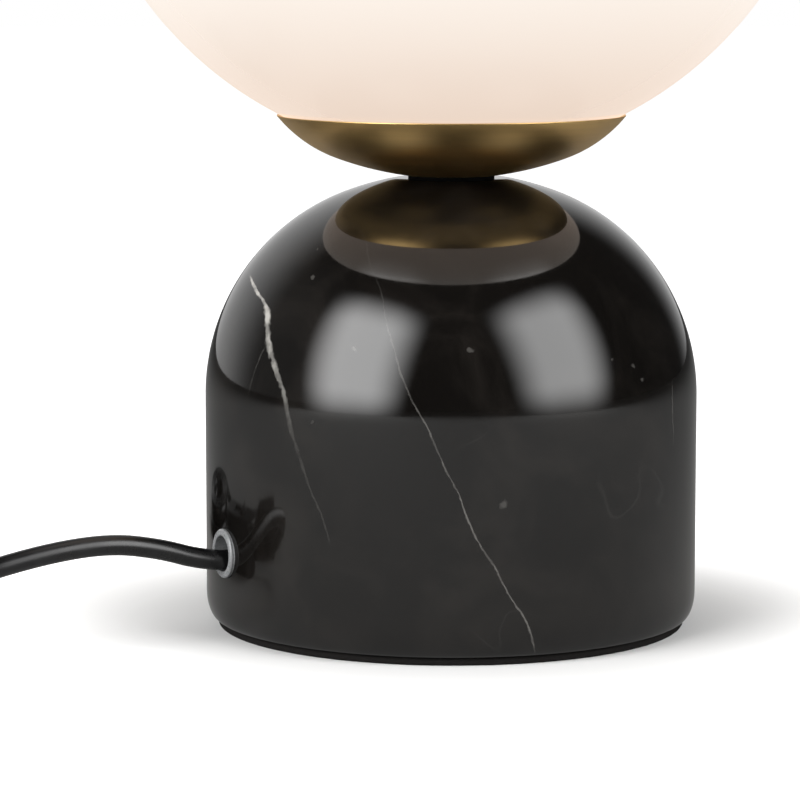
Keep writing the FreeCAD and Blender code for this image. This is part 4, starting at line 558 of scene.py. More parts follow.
def cord_material():
    """Black PVC sheath: satin, with faint lighter scuffs and a fine bump for the marks of its
    extrusion.
    """
    tint = bpy.context.scene.lamp_colours.cord
    made = Nodes("black_cord_sheath")
    fine = made.noise(1800.0, 3.0)
    scuff = made.noise(140.0, 4.0, rough=0.65)
    tone = made.mix(made.ramp(scuff, 0.45, 0.75), rgba(tint), rgba(tint, 2.2))
    made.shader(
        Base_Color=tone,
        Roughness=made.ramp(scuff, 0.3, 0.8, 0.26, 0.36),
        Normal=made.bump(fine, 0.15, 0.00003),
    )
    return made.material


def glow_plastic_material():
    """The bulb's white dome, with a light of its own."""
    made = Nodes("glowing_white_plastic")
    cloud = made.noise(60.0, 2.0)
    glow = made.mix(cloud, (1.0, 0.86, 0.68, 1), (1.0, 0.9, 0.75, 1))
    made.shader(
        Base_Color=(0.75, 0.74, 0.71, 1),
        Roughness=made.ramp(made.noise(900.0, 2.0), 0.3, 0.7, 0.38, 0.5),
        Emission_Color=glow,
        Emission_Strength=2.2,
    )
    return made.material


# --------------------------------------------------------------------------------
# Curves
# --------------------------------------------------------------------------------
def cord_curve(name, points, radius, material):
    """A smooth NURBS line of third order through the room between its points, with a skin."""
    data = bpy.data.curves.new(name, "CURVE")
    data.dimensions = "3D"
    data.resolution_u = 10
    data.render_resolution_u = 10
    data.bevel_depth = radius
    data.bevel_resolution = 6
    data.use_fill_caps = True
    spline = data.splines.new("NURBS")
    spline.points.add(len(points) - 1)
    places = np.concatenate([np.array(points, float), np.ones((len(points), 1))], axis=1)
    spline.points.foreach_set("co", places.ravel())
    spline.order_u = 3
    spline.use_endpoint_u = True
    data.materials.append(material)
    piece = bpy.data.objects.new(name, data)
    bpy.context.scene.collection.objects.link(piece)
    return piece


def from_exit(distance, height):
    """A place over the cord hole's line, at a distance from the lamp's axis."""
    return (exit_way[0] * distance, exit_way[1] * distance, height)


EXIT_POINT = from_exit(0.067, 0.02135)
LEAD_ROUTE = [
    EXIT_POINT,
    from_exit(0.07303, 0.02199),
    from_exit(0.08402, 0.0256),
    from_exit(0.09802, 0.02799),
    from_exit(0.11598, 0.0265),
    from_exit(0.13802, 0.0218),
    (-0.14561, -0.05597, 0.0135),
    (-0.159, -0.03902, 0.0065),
    (-0.159, -0.0165, 0.0065),
]
INNER_ROUTE = [
    EXIT_POINT,
    from_exit(0.04149, 0.02105),
    from_exit(0.01404, 0.02105),
    (0, 0, 0.03509),
    (0, 0, 0.0625),
    (0, 0, 0.12995),
]
COIL_MIDDLE = np.array([-0.1825, 0.1175])
COIL_HALF = 360 * COIL_TURNS
CORD = 0.0054


def coil_points(angle):
    """The coil: reach = inner + pitch * |angle - half| / 360 from its middle, in the
    direction angle - 30 degrees; it climbs by a cosine from floor to second layer."""
    inner = COIL_REACH - COIL_PITCH * COIL_TURNS / 2
    reach = inner + COIL_PITCH * np.abs(angle - COIL_HALF) / 360
    climb = np.clip((angle - COIL_HALF) / 180 + 0.5, 0, 1)
    height = CORD / 2 + COIL_CLIMB * (1 - np.cos(np.pi * climb)) / 2
    way = np.radians(angle - 30.0)
    return np.stack(
        [COIL_MIDDLE[0] + reach * np.cos(way), COIL_MIDDLE[1] + reach * np.sin(way), height], 1
    )


def long_route():
    """From the switch into the coil, through its turns and on to the plug."""
    ends = coil_points(np.array([0.0, 0.02, 2 * COIL_HALF - 0.02, 2 * COIL_HALF]))
    way_in = (ends[1] - ends[0]) / np.linalg.norm(ends[1] - ends[0])
    way_out = (ends[3] - ends[2]) / np.linalg.norm(ends[3] - ends[2])
    start, end = ends[0] - way_in * CORD, ends[3] + way_out * CORD
    corner = start - way_in * ((start[0] + 0.159) / way_in[0])
    turns = coil_points(np.linspace(0, 2 * COIL_HALF, 121))
    return np.concatenate(
        [
            [(-0.159, 0.0455, 0.0065), (-0.159, 0.05549, 0.0065), corner, start],
            turns,
            [
                end,
                end + way_out * CORD * 2.96,
                (-0.20268, 0.05501, 0.00562),
                (-0.20241, 0.03098, 0.00481),
                (-0.203, 0.02002, 0.00685),
                (-0.203, 0.011, 0.00685),
            ],
        ]
    )


# --------------------------------------------------------------------------------
# Pieces
# --------------------------------------------------------------------------------
def marble_outline(sizes):
    """The marble's half section: side, shoulder arc, crown arc, flat, bore, hollow."""
    radius, seat = sizes.base_radius, sizes.seat_height
    shoulder, crown = sizes.shoulder_radius, sizes.crown_radius
    hollow, top = sizes.hollow_radius, sizes.hollow_top
    foot, flat, bore = sizes.pad_height - FOOT_SINK, sizes.seat_radius, BORE_RADIUS
    angle = np.linspace(0, TURN / 4, 10)
    round_r = radius + (np.sin(angle) - 1) * FOOT_ROUND_IN
    round_edge = np.stack([round_r, foot + (1 - np.cos(angle)) * FOOT_ROUND_UP], 1)
    inset = radius - shoulder
    crown_z = seat - math.sqrt(crown**2 - flat**2)
    side_z = crown_z + math.sqrt((crown - shoulder) ** 2 - inset**2)
    join = math.degrees(math.atan2(side_z - crown_z, inset))
    edge = math.degrees(math.atan2(seat - crown_z, flat))
    low, high = sizes.exit_height - WINDOW_HALF, sizes.exit_height + WINDOW_HALF
    outside = path(
        round_edge,
        line((radius, foot + FOOT_ROUND_UP), (radius, low), 2),
        line((radius, low), (radius, high), 16),
        line((radius, high), (radius, side_z), 10),
        arc((inset, side_z), shoulder, 0, join, 56),
        arc((0, crown_z), crown, join, edge, 10),
    )
    inside = path(
        line((flat, seat), (bore + BORE_EDGE, seat), 3),
        line((bore, seat - BORE_EDGE), (bore, top), 6),
        line((bore, top), (hollow, top), 8),
        line((hollow, top), (hollow, high), 6),
        line((hollow, high), (hollow, low), 16),
        line((hollow, low), (hollow, foot), 3),
        line((hollow, foot), (radius - FOOT_ROUND_IN, foot), 6),
    )
    return outside, inside


def hole_patch(points, uv, hole_radius, middle_height):
    """Fills a window in the wall out to a round hole.

    The window's rim, walked once round, is carried to the circle: place = rim * (1 - t) +
    circle * t across the surface, and then laid on the wall's own cylinder.
    """
    def walk(table):
        return np.concatenate(
            [table[0, :-1], table[:-1, -1], table[-1, :0:-1], table[:0:-1, 0], table[:1, 0]]
        )

    rim, rim_uv = walk(points), walk(uv)
    steps = len(rim) - 1
    radius = np.hypot(rim[0, 0], rim[0, 1])
    across = radius * np.arcsin(np.clip(rim @ side_way / radius, -1, 1))
    rise = rim[:, 2] - middle_height
    sense = 1 if rise[0] < 0 else -1
    first = round(math.atan2(rise[0], across[0]) / TURN * steps)
    count = (first + sense * np.arange(steps + 1)) % steps
    angle = count * TURN / steps
    t = np.linspace(0, 1, 9)[:, None] ** 0.8
    hole_across = radius * np.arcsin(hole_radius * np.cos(angle) / radius)
    wide = across * (1 - t) + hole_across * t
    tall = rise * (1 - t) + hole_radius * np.sin(angle) * t
    turn = wide / radius
    spots = (
        exit_way * (radius * np.cos(turn))[..., None]
        + side_way * (radius * np.sin(turn))[..., None]
        + np.array([0, 0, 1.0]) * (tall + middle_height)[..., None]
    )
    spots[0] = rim
    drift = np.stack([(wide - across) / (radius * TURN), (tall - rise) * UV_PER_METRE * sense], 2)
    ring = np.empty((steps + 1, 3))
    ring[count[:-1]] = spots[-1, :-1]
    ring[-1] = ring[0]
    return (spots, rim_uv[None] + drift), ring


def marble_grids(sizes):
    """The turned surface with a window at the cord hole, outside and in the hollow, each
    filled up to the round hole, and the hole's wall from one circle to the other."""
    outside, inside = marble_outline(sizes)
    profile = path(outside, inside)
    angle = math.degrees(math.atan2(exit_way[1], exit_way[0]))
    points, uv = lathe(profile, MARBLE_COLUMNS, angle - 180.0)
    low, high = sizes.exit_height - WINDOW_HALF, sizes.exit_height + WINDOW_HALF
    middle, reach = MARBLE_COLUMNS // 2, WINDOW_COLUMNS
    grids, rings, row = [], [], 0
    for radius in (sizes.base_radius, sizes.hollow_radius):
        on_wall = np.abs(profile[:, 0] - radius) < 1e-6
        between = (profile[:, 1] > low - 1e-6) & (profile[:, 1] < high + 1e-6)
        first, last = np.flatnonzero(on_wall & between)[[0, -1]]
        rows = slice(first, last + 1)
        window = (rows, slice(middle - reach, middle + reach + 1))
        patch, ring = hole_patch(points[window], uv[window], CORD_HOLE_RADIUS, sizes.exit_height)
        rings.append(ring)
        grids += [
            (points[row : first + 1], uv[row : first + 1]),
            (points[rows, : middle - reach + 1], uv[rows, : middle - reach + 1]),
            (points[rows, middle + reach :], uv[rows, middle + reach :]),
            patch,
        ]
        row = last
    grids.append((points[row:], uv[row:]))
    grids.append((np.stack(rings), np.zeros((2, len(rings[0]), 2))))
    return grids


class LAMP_OT_marble_base(bpy.types.Operator):
    """Polished black marble base with its veins and cord hole"""

    bl_idname = "lamp.marble_base"
    bl_label = "Marble Base"

    def execute(self, context):
        piece = skin("marble_block", marble_grids(context.scene.lamp_sizes), crease=28.0)
        dressed(piece, "lamp", marble_material(), "marble_base")
        return {"FINISHED"}


class LAMP_OT_base_pad(bpy.types.Operator):
    """Dark felt pad under the marble"""

    bl_idname = "lamp.base_pad"
    bl_label = "Felt Pad"

    def execute(self, context):
        sizes = context.scene.lamp_sizes
        radius, height = sizes.pad_radius, sizes.pad_height - FOOT_SINK
        corners = [(0, 0), (radius, 0), (radius, height), (0, height)]
        profile = soft_path(corners, 0.0008)
        points, uv = lathe(profile, 220)
        angle = np.linspace(0, TURN, points.shape[1])
        fray = 1 - 0.0012 * (0.5 + 0.5 * np.sin(angle * 97) * np.sin(angle * 41 + 1))
        points[..., :2] *= fray[None, :, None]
        piece = skin("felt_pad", [(points, uv)], crease=60)
        dressed(piece, "lamp", felt_material(), "base_pad")
        return {"FINISHED"}


class LAMP_OT_cable_grommet(bpy.types.Operator):
    """Grommet in the cord hole, its collar bedded on the round marble"""

    bl_idname = "lamp.cable_grommet"
    bl_label = "Cable Grommet"

    def execute(self, context):
        sizes = context.scene.lamp_sizes
        wall = sizes.base_radius + 0.00005
        back = 0.0655
        corners = [
            (0.00477, 0.0528), (0.0056, 0.0528), (0.0056, back), (0.0065, back),
            (0.0065, 0.0658), (0.00635, 0.06595), (0.00648, 0.0662), (0.00648, 0.06645),
            (0.00605, 0.0669), (0.0057, 0.06675), (0.0053, 0.0669), (0.00477, 0.0668),
        ]
        profile = soft_path(corners, 0.00012)
        points, uv = lathe(profile, 96)
        bedded = ((profile[:, 1] > back - 0.0005) & (profile[:, 1] < back + 0.0003))[:, None]
        lift = np.sqrt(wall**2 - points[..., 0] ** 2) - back
        distance = points[..., 2] + np.where(bedded, lift, 0)
        spots = (
            exit_way * distance[..., None]
            + side_way * points[..., 0:1]
            + np.array([0, 0, 1.0]) * (points[..., 1:2] + sizes.exit_height)
        )
        piece = skin("grommet_ring", [(spots, uv)], crease=50)
        dressed(piece, "lamp", grommet_material(), "cable_grommet")
        return {"FINISHED"}


def dish_outline(sizes):
    """The dish's half section: flat, belly arc, cheek arc, a lip along the glass, and back."""
    belly, cheek, glass = (0.0, 0.208385), (0.01843, 0.15891), (0.0, sizes.globe_middle)
    wall, rim = sizes.dish_wall, sizes.rim_radius
    reach = sizes.globe_radius + 0.0003
    belly_radius, cheek_radius, floor = 0.0888, 0.036, 0.1216
    turn = math.degrees(math.asin(0.031 / belly_radius)) - 90
    flat = math.degrees(math.asin(0.012 / belly_radius)) - 90
    rim_turn = -math.degrees(math.acos((rim - cheek[0]) / cheek_radius))
    inner_flat = -math.degrees(math.asin((belly[1] - floor) / (belly_radius - wall)))
    lip = [math.degrees(math.asin(r / reach)) - 90 for r in (rim - 0.0002, 0.04408)]
    return path(
        line((0.0051, 0.1204), (0.012, 0.1204), 3),
        arc(belly, belly_radius, flat, turn, 16),
        arc(cheek, cheek_radius, turn, rim_turn, 30),
        line((rim, 0.13625), (rim, 0.1364)),
        arc(glass, reach, lip[0], lip[1], 4),
        arc(cheek, cheek_radius - wall, -42.6, turn, 24),
        arc(belly, belly_radius - wall, turn, inner_flat, 14),
        line((0.0051, floor), (0.0051, 0.1204)),
    )


class LAMP_OT_brass_dish(bpy.types.Operator):
    """Spun brass dish under the globe"""

    bl_idname = "lamp.brass_dish"
    bl_label = "Brass Dish"

    def execute(self, context):
        profile = dish_outline(context.scene.lamp_sizes)
        piece = skin("spun_dish", [lathe(profile, 240)], crease=30)
        dressed(piece, "lamp", brass_material(), "brass_dish")
        return {"FINISHED"}


def globe_outline(sizes):
    """The glass's half section: inner sphere from its top to the mouth, a round mouth edge,
    and the outer sphere back to the top."""
    middle, radius = (0.0, sizes.globe_middle), sizes.globe_radius
    inner, mouth = radius - sizes.globe_wall, sizes.mouth_radius
    near = mouth + 0.0011
    low_in, low_out = (-math.degrees(math.acos(near / size)) for size in (inner, radius))
    inside = arc(middle, inner, 90, low_in, 70)
    outside = arc(middle, radius, low_out, 90, 130)
    height_in = sizes.globe_middle - math.sqrt(inner**2 - mouth**2)
    height_out = sizes.globe_middle - math.sqrt(radius**2 - mouth**2)
    half = (height_in + height_out) / 2
    t = np.linspace(0, 1, 7)[:, None]
    edges = []
    for start, corner, end in (
        (inside[-1], np.array([mouth, height_in]), np.array([mouth, half])),
        (np.array([mouth, half]), np.array([mouth, height_out]), outside[0]),
    ):
        edges.append((1 - t) ** 2 * start + 2 * t * (1 - t) * corner + t**2 * end)
    inside[0, 0] = outside[-1, 0] = 0.0
    return path(inside, *edges, outside)


class LAMP_OT_glass_globe(bpy.types.Operator):
    """Opal glass globe with a ground round mouth"""

    bl_idname = "lamp.glass_globe"
    bl_label = "Glass Globe"

    def execute(self, context):
        profile = globe_outline(context.scene.lamp_sizes)
        piece = skin("opal_globe", [lathe(profile, 224)], crease=60)
        dressed(piece, "globe", glass_material(), "glass_globe")
        return {"FINISHED"}


def thread_grid(profile, columns, depth, low, high):
    """A turned profile whose radius grows by depth * (1 + cos(2 pi (z / pitch - turn))) / 2,
    fading out at both ends: a rolled lamp thread."""
    points, uv = lathe(profile, columns)
    angle = np.linspace(0, TURN, columns + 1)[None, :]
    height = points[..., 2]
    wave = 0.5 + 0.5 * np.cos(TURN * height / THREAD_PITCH - angle)
    fade = np.clip((height - low) / THREAD_FADE, 0, 1)
    fade = fade * np.clip((high - height) / THREAD_FADE, 0, 1)
    radius = np.maximum(np.hypot(points[..., 0], points[..., 1]), 1e-6)
    grow = 1 + depth * wave * fade * (radius > 0.0115) / radius
    points[..., :2] *= grow[..., None]
    return points, uv


class LAMP_OT_bulb(bpy.types.Operator):
    """LED bulb: rolled screw cap, insulator, contact, housing, board and glowing dome"""

    bl_idname = "lamp.bulb"
    bl_label = "Bulb"

    def execute(self, context):
        low, high = 0.1619, 0.1834
        cap = path(
            line((0.0123, low), (0.0123, high), 84),
            line((0.0123, high), (0.0119, high)),
            line((0.0119, high), (0.0119, low), 84),
            line((0.0119, low), (0.0123, low)),
        )
        nickel = plain("bulb_cap_nickel", (0.62, 0.61, 0.58), 0.24, 1.0, 900.0)
        thread = thread_grid(cap, 96, 0.0008, low, high)
        dressed(skin("bulb_screw_cap", [thread], crease=50), "bulb", nickel, "bulb_cap")
        flank, flank_turns = (-0.03487, 0.22468), (-38.72, -8.14)
        housing = path(
            line((0, high), (0.0130, high)),
            line((0.0135, high + 0.0005), (0.0135, 0.1859), 2),
            arc(flank, 0.062, *flank_turns, 30),
            line((0.0265, 0.2159), (0.025, 0.2159)),
            arc(flank, 0.06083, -10.2, -39.6, 20),
            line((0.012, 0.1859), (0, 0.1859)),
        )
        white = plain("bulb_white_plastic", (0.78, 0.77, 0.73), 0.36, 0.0, 700.0, spread=0.04)
        shell = skin("bulb_flared_housing", [lathe(housing, 128)], crease=35)
        dressed(shell, "bulb", white, "bulb_housing")
        middle = (0.0, 0.2364)
        dome = path(
            line((0.025, 0.2159), (0.0265, 0.2159)),
            line((0.0265, 0.2159), (0.02884, 0.22813), 4),
            arc(middle, 0.03, -16, 90, 48),
            arc(middle, 0.0285, 90, -16, 36),
            line((0.0274, 0.22854), (0.025, 0.2159), 3),
        )
        dome[np.abs(dome[:, 0]) < 1e-9, 0] = 0.0
        dome_piece = skin("bulb_glowing_dome", [lathe(dome, 128)], crease=35)
        dressed(dome_piece, "bulb", glow_plastic_material(), "bulb_diffuser")
        finish_nodes(
            plain("fused_black_glass", (0.012, 0.012, 0.014), 0.12, 0.0, 500.0), "bulb_insulator"
        )
        finish_nodes(plain("solder_tin", (0.55, 0.55, 0.54), 0.34, 1.0, 1400.0), "bulb_contact")
        finish_nodes(plain("white_solder_mask", (0.8, 0.8, 0.76), 0.4, 0.0, 900.0), "led_board")
        finish_nodes(plain("yellow_phosphor", (0.85, 0.6, 0.1), 0.35, 0.0, 2500.0), "led_chips")
        finish_nodes(
            plain("green_circuit_board", (0.02, 0.13, 0.05), 0.4, 0.0, 1200.0), "bulb_driver"
        )
        return {"FINISHED"}


class LAMP_OT_holder(bpy.types.Operator):
    """Lampholder: moulded cap and fluted skirt, ceramic core, rolled shell and terminals"""

    bl_idname = "lamp.holder"
    bl_label = "Lampholder"

    def execute(self, context):
        bakelite = plain("black_thermoset", (0.012, 0.011, 0.011), 0.22, 0.0, 350.0)
        corner_low, corner_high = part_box("holder_skirt")
        outer, top, bottom = corner_high[0], corner_high[2], corner_low[2]
        seat = bottom + 0.005
        profile = path(
            line((0.0159, bottom), (0.0179, bottom)),
            line((0.0179, bottom), (0.0179, seat), 3),
            line((0.0179, seat), (outer - 0.0004, seat), 3),
            line((outer, seat + 0.0004), (outer, top - 0.0016), 30),
            arc((outer - 0.0016, top - 0.0016), 0.0016, 0, 90, 6),
            line((outer - 0.0016, top), (0.0153, top), 3),
            arc((0.0153, top - 0.0003), 0.0003, 90, 180, 3),
            line((0.015, top - 0.0003), (0.015, top - 0.002), 2),
            line((0.015, top - 0.002), (0.0179, top - 0.0036), 2),
            line((0.0179, top - 0.0036), (0.0179, seat + 0.002), 8),
            line((0.0159, seat), (0.0159, bottom), 3),
        )
        points, uv = lathe(profile, 288)
        angle = np.linspace(0, TURN, points.shape[1])[None, :]
        radius = np.hypot(points[..., 0], points[..., 1])
        height = points[..., 2]
        fade = np.clip((height - seat - 0.004) / 0.002, 0, 1)
        fade = fade * np.clip((top - 0.006 - height) / 0.002, 0, 1) * (radius > outer - 0.0001)
        flute = 0.00045 * np.clip(np.cos(angle * 36) * 1.6 + 0.3, 0, 1)
        points[..., :2] *= (1 - flute * fade / np.maximum(radius, 1e-6))[..., None]
        dressed(
            skin("fluted_skirt", [(points, uv)], crease=38), "lamp", bakelite, "holder_skirt"
        )
        brass = plain("stamped_brass", (0.62, 0.44, 0.2), 0.3, 1.0, 700.0)
        low, high, bore, wall, hole = 0.1573, 0.1818, 0.0135, 0.00045, 0.009
        outer, floor = bore + wall, low + wall
        shell = path(
            line((hole, low), (outer, low), 3),
            line((outer, low), (outer, high), 90),
            line((outer, high), (bore, high)),
            line((bore, high), (bore, floor), 90),
            line((bore, floor), (hole, floor), 3),
            line((hole, floor), (hole, low)),
        )
        thread = thread_grid(shell, 96, 0.0006, low + 0.001, high)
        dressed(skin("rolled_screw_shell", [thread], crease=50), "lamp", brass, "screw_shell")
        finish_nodes(bakelite, "holder_cap")
        finish_nodes(
            plain("white_ceramic", (0.74, 0.73, 0.69), 0.16, 0.0, 220.0, spread=0.05), "holder_core"
        )
        finish_nodes(brass, "holder_terminals", "centre_contact")
        finish_nodes(
            plain("screw_zinc", (0.56, 0.56, 0.58), 0.3, 1.0, 1500.0), "terminal_screws"
        )
        finish_nodes(plain("brown_wire_sleeve", (0.10, 0.035, 0.012), 0.38), "live_wire")
        finish_nodes(plain("blue_wire_sleeve", (0.02, 0.07, 0.32), 0.38), "neutral_wire")
        return {"FINISHED"}


class LAMP_OT_stem(bpy.types.Operator):
    """Threaded tube, washers, nuts, cord grip and the plate with the three spring clips"""

    bl_idname = "lamp.stem"
    bl_label = "Stem and Clips"

    def execute(self, context):
        zinc = plain("zinc_plated_steel", (0.56, 0.57, 0.60), 0.3, 1.0, 600.0)
        finish_nodes(zinc, "threaded_tube", "base_washer", "base_nut", "dish_washer", "dish_nut")
        finish_nodes(zinc, "clip_spider")
        nylon = plain("black_nylon", (0.014, 0.014, 0.014), 0.42, 0.0, 900.0)
        finish_nodes(nylon, "cord_grip")
        finish_nodes(
            plain("white_nylon", (0.72, 0.71, 0.67), 0.4, 0.0, 900.0), "cord_grip_screw"
        )
        finish_nodes(
            plain(
                "black_rubber_washer", (0.002, 0.002, 0.002), 0.9, 0.0, 1500.0,
                Specular_IOR_Level=0.05,
            ),
            "dish_seat_washer",
        )
        finish_nodes(
            plain("clear_silicone", (0.55, 0.55, 0.52), 0.28, 0.0, 500.0), "globe_gasket"
        )
        spring = plain("bright_spring_steel", (0.5, 0.5, 0.52), 0.2, 1.0, 1300.0)
        finish_nodes(spring, "globe_clip_1", "globe_clip_2", "globe_clip_3")
        finish_nodes(plain("bright_rivet_brass", (0.62, 0.46, 0.22), 0.26, 1.0), "clip_rivets")
        return {"FINISHED"}


class LAMP_OT_cord(bpy.types.Operator):
    """Round black cord: inside the base, out to the switch, and coiled on to the plug"""

    bl_idname = "lamp.cord"
    bl_label = "Cord"

    def execute(self, context):
        radius = context.scene.lamp_sizes.cord_diameter / 2
        sheath = cord_material()
        inside = cord_curve("cord_in_base", INNER_ROUTE, radius, sheath)
        dressed(inside, "lamp", sheath, "inner_cord")
        lead = cord_curve("cord_to_switch", LEAD_ROUTE, radius, sheath)
        dressed(lead, "lamp", sheath, "cord_lead")
        rest = cord_curve("cord_to_plug", long_route(), radius, sheath)
        dressed(rest, "lamp", sheath, "cord_coil", "cord_middle", "cord_tail")
        return {"FINISHED"}


class LAMP_OT_plug(bpy.types.Operator):
    """Flat two-pin plug with sleeved pins and a ribbed strain relief"""

    bl_idname = "lamp.plug"
    bl_label = "Plug"

    def execute(self, context):
        tint = tuple(context.scene.lamp_colours.switch)
        moulded = plain("plug_satin_plastic", tint, 0.4, 0.0, 800.0)
        steps = 101
        along = np.linspace(0, 1, steps)
        taper = 0.0056 + (0.0038 - 0.0056) * along
        rib = 0.5 - 0.5 * np.cos(TURN * np.clip((along - 0.08) / 0.8, 0, 1) * 7)
        outer = taper - 0.0007 * rib * (along > 0.08) * (along < 0.88)
        y = -0.014 + 0.025 * along
        profile = path(
            np.stack([outer, y], 1),
            line((0.0038, 0.011), (0.0028, 0.011), 2),
            line((0.0028, 0.011), (0.0028, -0.014), 2),
            line((0.0028, -0.014), (0.0056, -0.014), 2),
        )
        points, uv = lathe(profile, 64)
        spots = np.stack(
            [points[..., 1] - 0.203, points[..., 2], points[..., 0] + 0.00685], axis=2
        )
        relief = skin("plug_ribbed_relief", [(spots, uv)], crease=45)
        dressed(relief, "lamp", moulded, "plug_relief")
        finish_nodes(moulded, "plug_body")
        finish_nodes(plain("nickel_pin", (0.6, 0.58, 0.54), 0.2, 1.0, 1500.0), "plug_pins")
        finish_nodes(plain("pin_sleeve_plastic", tint, 0.35, 0.0, 900.0), "pin_sleeves")
        return {"FINISHED"}


class LAMP_OT_switch(bpy.types.Operator):
    """Rocker switch in the cord"""

    bl_idname = "lamp.switch"
    bl_label = "Cord Switch"

    def execute(self, context):
        tint = tuple(context.scene.lamp_colours.switch)
        case = plain("switch_satin_plastic", tint, 0.36, 0.0, 1100.0)
        finish_nodes(case, "switch_base", "switch_cover")
        finish_nodes(plain("rocker_gloss_plastic", tint, 0.2, 0.0, 1100.0), "switch_rocker")
        steel = plain("switch_steel", (0.55, 0.55, 0.57), 0.3, 1.0, 1500.0)
        finish_nodes(steel, "switch_screws", "rocker_pin")
        copper = plain("contact_brass", (0.6, 0.42, 0.2), 0.3, 1.0, 1500.0)
        finish_nodes(copper, "rocker_contact", "switch_contacts")
        return {"FINISHED"}


# --------------------------------------------------------------------------------
# Stage
# --------------------------------------------------------------------------------
def floor_material():
    """Pale floor: plain grey in reflections.  To the camera it is paler, and has a white
    light of its own that grows with the distance from the lamp's axis."""
    made = Nodes("studio_floor")
    x, y = made.object_axes()[:2]
    away = made.distance(x, y)
    seen = made.add("ShaderNodeLightPath").outputs["Is Camera Ray"]
    wash = made.math("MULTIPLY", made.ramp(away, WASH_START, WASH_FULL), seen)
    tone = made.mix(seen, (0.42, 0.42, 0.415, 1), (0.8, 0.8, 0.795, 1))
    made.shader(
        Base_Color=tone,
        Roughness=0.9,
        Specular_IOR_Level=0.0,
        Emission_Color=(1, 1, 1, 1),
        Emission_Strength=wash,
    )
    return made.material


def world_math(tree, operation, *values):
    """A sum in the world's or a light's own tree, from sockets and numbers."""
    node = tree.nodes.new("ShaderNodeMath")
    node.operation = operation
    for socket, value in zip(node.inputs, values):
        if isinstance(value, float):
            socket.default_value = value
        else:
            tree.links.new(value, socket)
    return node.outputs[0]


def soft_rise(tree, value, low, high):
    """A smooth step from 0 at low to 1 at high."""
    node = tree.nodes.new("ShaderNodeMapRange")
    node.interpolation_type = "SMOOTHSTEP"
    node.inputs["From Min"].default_value = low
    node.inputs["From Max"].default_value = high
    tree.links.new(value, node.inputs["Value"])
    return node.outputs[0]


def softbox(name, turn, rise, distance, width, height, radiance):
    """A rectangular light with soft edges at a turn from the front and a rise above the aim."""
    turn, rise = math.radians(turn), math.radians(rise)
    way = np.array(
        [math.sin(turn) * math.cos(rise), -math.cos(turn) * math.cos(rise), math.sin(rise)]
    )
    data = bpy.data.lights.new(name, "AREA")
    data.shape = "RECTANGLE"
    data.size, data.size_y = width, height
    data.energy = radiance * math.pi * width * height
    data.use_nodes = True
    tree = data.node_tree
    tree.nodes.clear()
    output = tree.nodes.new("ShaderNodeOutputLight")
    shine = tree.nodes.new("ShaderNodeEmission")
    split = tree.nodes.new("ShaderNodeSeparateXYZ")
    tree.links.new(tree.nodes.new("ShaderNodeNewGeometry").outputs["Parametric"], split.inputs[0])
    strength = None
    for axis, soft in enumerate(SOFT_EDGES):
        for low, high in ((0.0, soft), (1.0, 1.0 - soft)):
            edge = soft_rise(tree, split.outputs[axis], low, high)
            strength = world_math(tree, "MULTIPLY", strength, edge) if strength else edge
    tree.links.new(strength, shine.inputs["Strength"])
    tree.links.new(shine.outputs[0], output.inputs[0])
    light = bpy.data.objects.new(name, data)
    light.location = np.array(AIM) + way * distance
    look = light.location - type(light.location)(AIM)
    light.rotation_euler = look.to_track_quat("Z", "Y").to_euler()
    light.visible_camera = False
    bpy.context.scene.collection.objects.link(light)
    return light


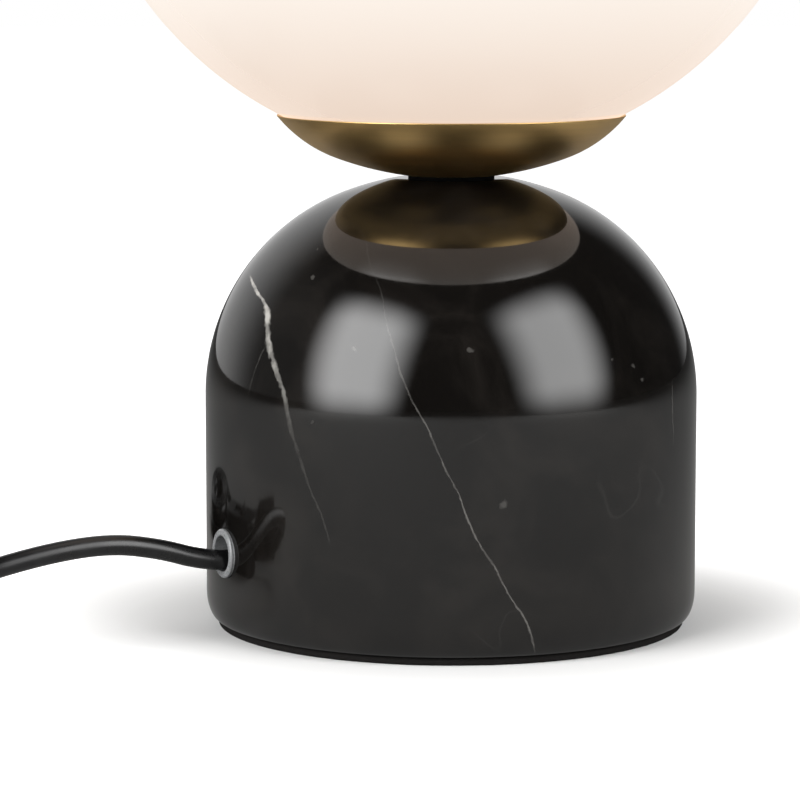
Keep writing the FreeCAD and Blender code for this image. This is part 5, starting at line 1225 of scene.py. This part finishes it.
class LAMP_OT_stage(bpy.types.Operator):
    """Camera, pale floor, studio surroundings and two softboxes"""

    bl_idname = "lamp.stage"
    bl_label = "Stage"

    def execute(self, context):
        scene = context.scene
        scene.view_settings.view_transform = "Standard"
        camera_data = bpy.data.cameras.new("photo_camera")
        camera_data.sensor_width = 36
        camera_data.lens = PHOTO_FOCUS / PHOTO_WIDTH * 36
        camera_data.clip_start = 0.01
        camera = bpy.data.objects.new("photo_camera", camera_data)
        camera.location = (0, -CAMERA_BACK, CAMERA_HEIGHT)
        camera.rotation_euler = (math.pi / 2 - CAMERA_DIP, 0, CAMERA_YAW)
        scene.collection.objects.link(camera)
        scene.camera = camera

        ring, turn = np.meshgrid([0.0, 1.5, 6.0], np.linspace(0, TURN, 65), indexing="ij")
        disc = np.stack([ring * np.cos(turn), ring * np.sin(turn), 0 * ring], axis=2)[::-1]
        floor = skin("studio_floor", [(disc, disc[..., :2])])
        floor.data.materials.append(floor_material())

        world = bpy.data.worlds.new("studio")
        scene.world = world
        world.use_nodes = True
        tree = world.node_tree
        tree.nodes.clear()
        output = tree.nodes.new("ShaderNodeOutputWorld")
        choice = tree.nodes.new("ShaderNodeMixShader")
        white = tree.nodes.new("ShaderNodeBackground")
        room = tree.nodes.new("ShaderNodeBackground")
        rays = tree.nodes.new("ShaderNodeLightPath")
        way = tree.nodes.new("ShaderNodeTexCoord")
        split = tree.nodes.new("ShaderNodeSeparateXYZ")
        tree.links.new(way.outputs["Generated"], split.inputs[0])

        leaning = world_math(tree, "MULTIPLY_ADD", split.outputs[0], -0.3, split.outputs[1])
        back = soft_rise(tree, leaning, 0.5, 0.95)
        left = soft_rise(tree, split.outputs[0], -0.5, -0.95)
        glow = world_math(tree, "MULTIPLY_ADD", back, BACK_LIGHT, ROOM_LIGHT)
        glow = world_math(tree, "MULTIPLY_ADD", left, LEFT_LIGHT, glow)
        tree.links.new(glow, room.inputs["Strength"])
        tree.links.new(rays.outputs["Is Camera Ray"], choice.inputs[0])
        tree.links.new(room.outputs[0], choice.inputs[1])
        tree.links.new(white.outputs[0], choice.inputs[2])
        tree.links.new(choice.outputs[0], output.inputs[0])
        room.inputs["Color"].default_value = (1, 1, 1, 1)
        white.inputs["Color"].default_value = (1, 1, 1, 1)
        white.inputs["Strength"].default_value = 1.0

        softbox("left_softbox", -45.5, 22, 1.05, 1.14, 1.32, 8.2)
        softbox("right_softbox", 54, 24, 1.05, 1.14, 1.32, 6.3)
        return {"FINISHED"}


STEPS = (
    LAMP_OT_stage,
    LAMP_OT_plug,
    LAMP_OT_cord,
    LAMP_OT_marble_base,
    LAMP_OT_base_pad,
    LAMP_OT_cable_grommet,
    LAMP_OT_stem,
    LAMP_OT_brass_dish,
    LAMP_OT_holder,
    LAMP_OT_bulb,
    LAMP_OT_glass_globe,
    LAMP_OT_switch,
)


class LAMP_PT_panel(bpy.types.Panel):
    """The lamp's settings and its pieces"""

    bl_idname = "LAMP_PT_panel"
    bl_label = "Globe Table Lamp"
    bl_space_type = "VIEW_3D"
    bl_region_type = "UI"
    bl_category = "Lamp"

    def draw(self, context):
        for group in (context.scene.lamp_sizes, context.scene.lamp_colours):
            box = self.layout.box()
            for name in group.__annotations__:
                box.prop(group, name)
        for step in STEPS:
            self.layout.operator(step.bl_idname)


CLASSES = (LampSizes, LampColours, *STEPS, LAMP_PT_panel)


def register():
    for item in CLASSES:
        bpy.utils.register_class(item)
    bpy.types.Scene.lamp_sizes = bpy.props.PointerProperty(type=LampSizes)
    bpy.types.Scene.lamp_colours = bpy.props.PointerProperty(type=LampColours)


def unregister():
    del bpy.types.Scene.lamp_colours
    del bpy.types.Scene.lamp_sizes
    for item in reversed(CLASSES):
        bpy.utils.unregister_class(item)


def main():
    register()
    for step in STEPS:
        group, name = step.bl_idname.split(".")
        getattr(getattr(bpy.ops, group), name)()
    bpy.context.view_layer.update()


if __name__ == "__main__":
    main()
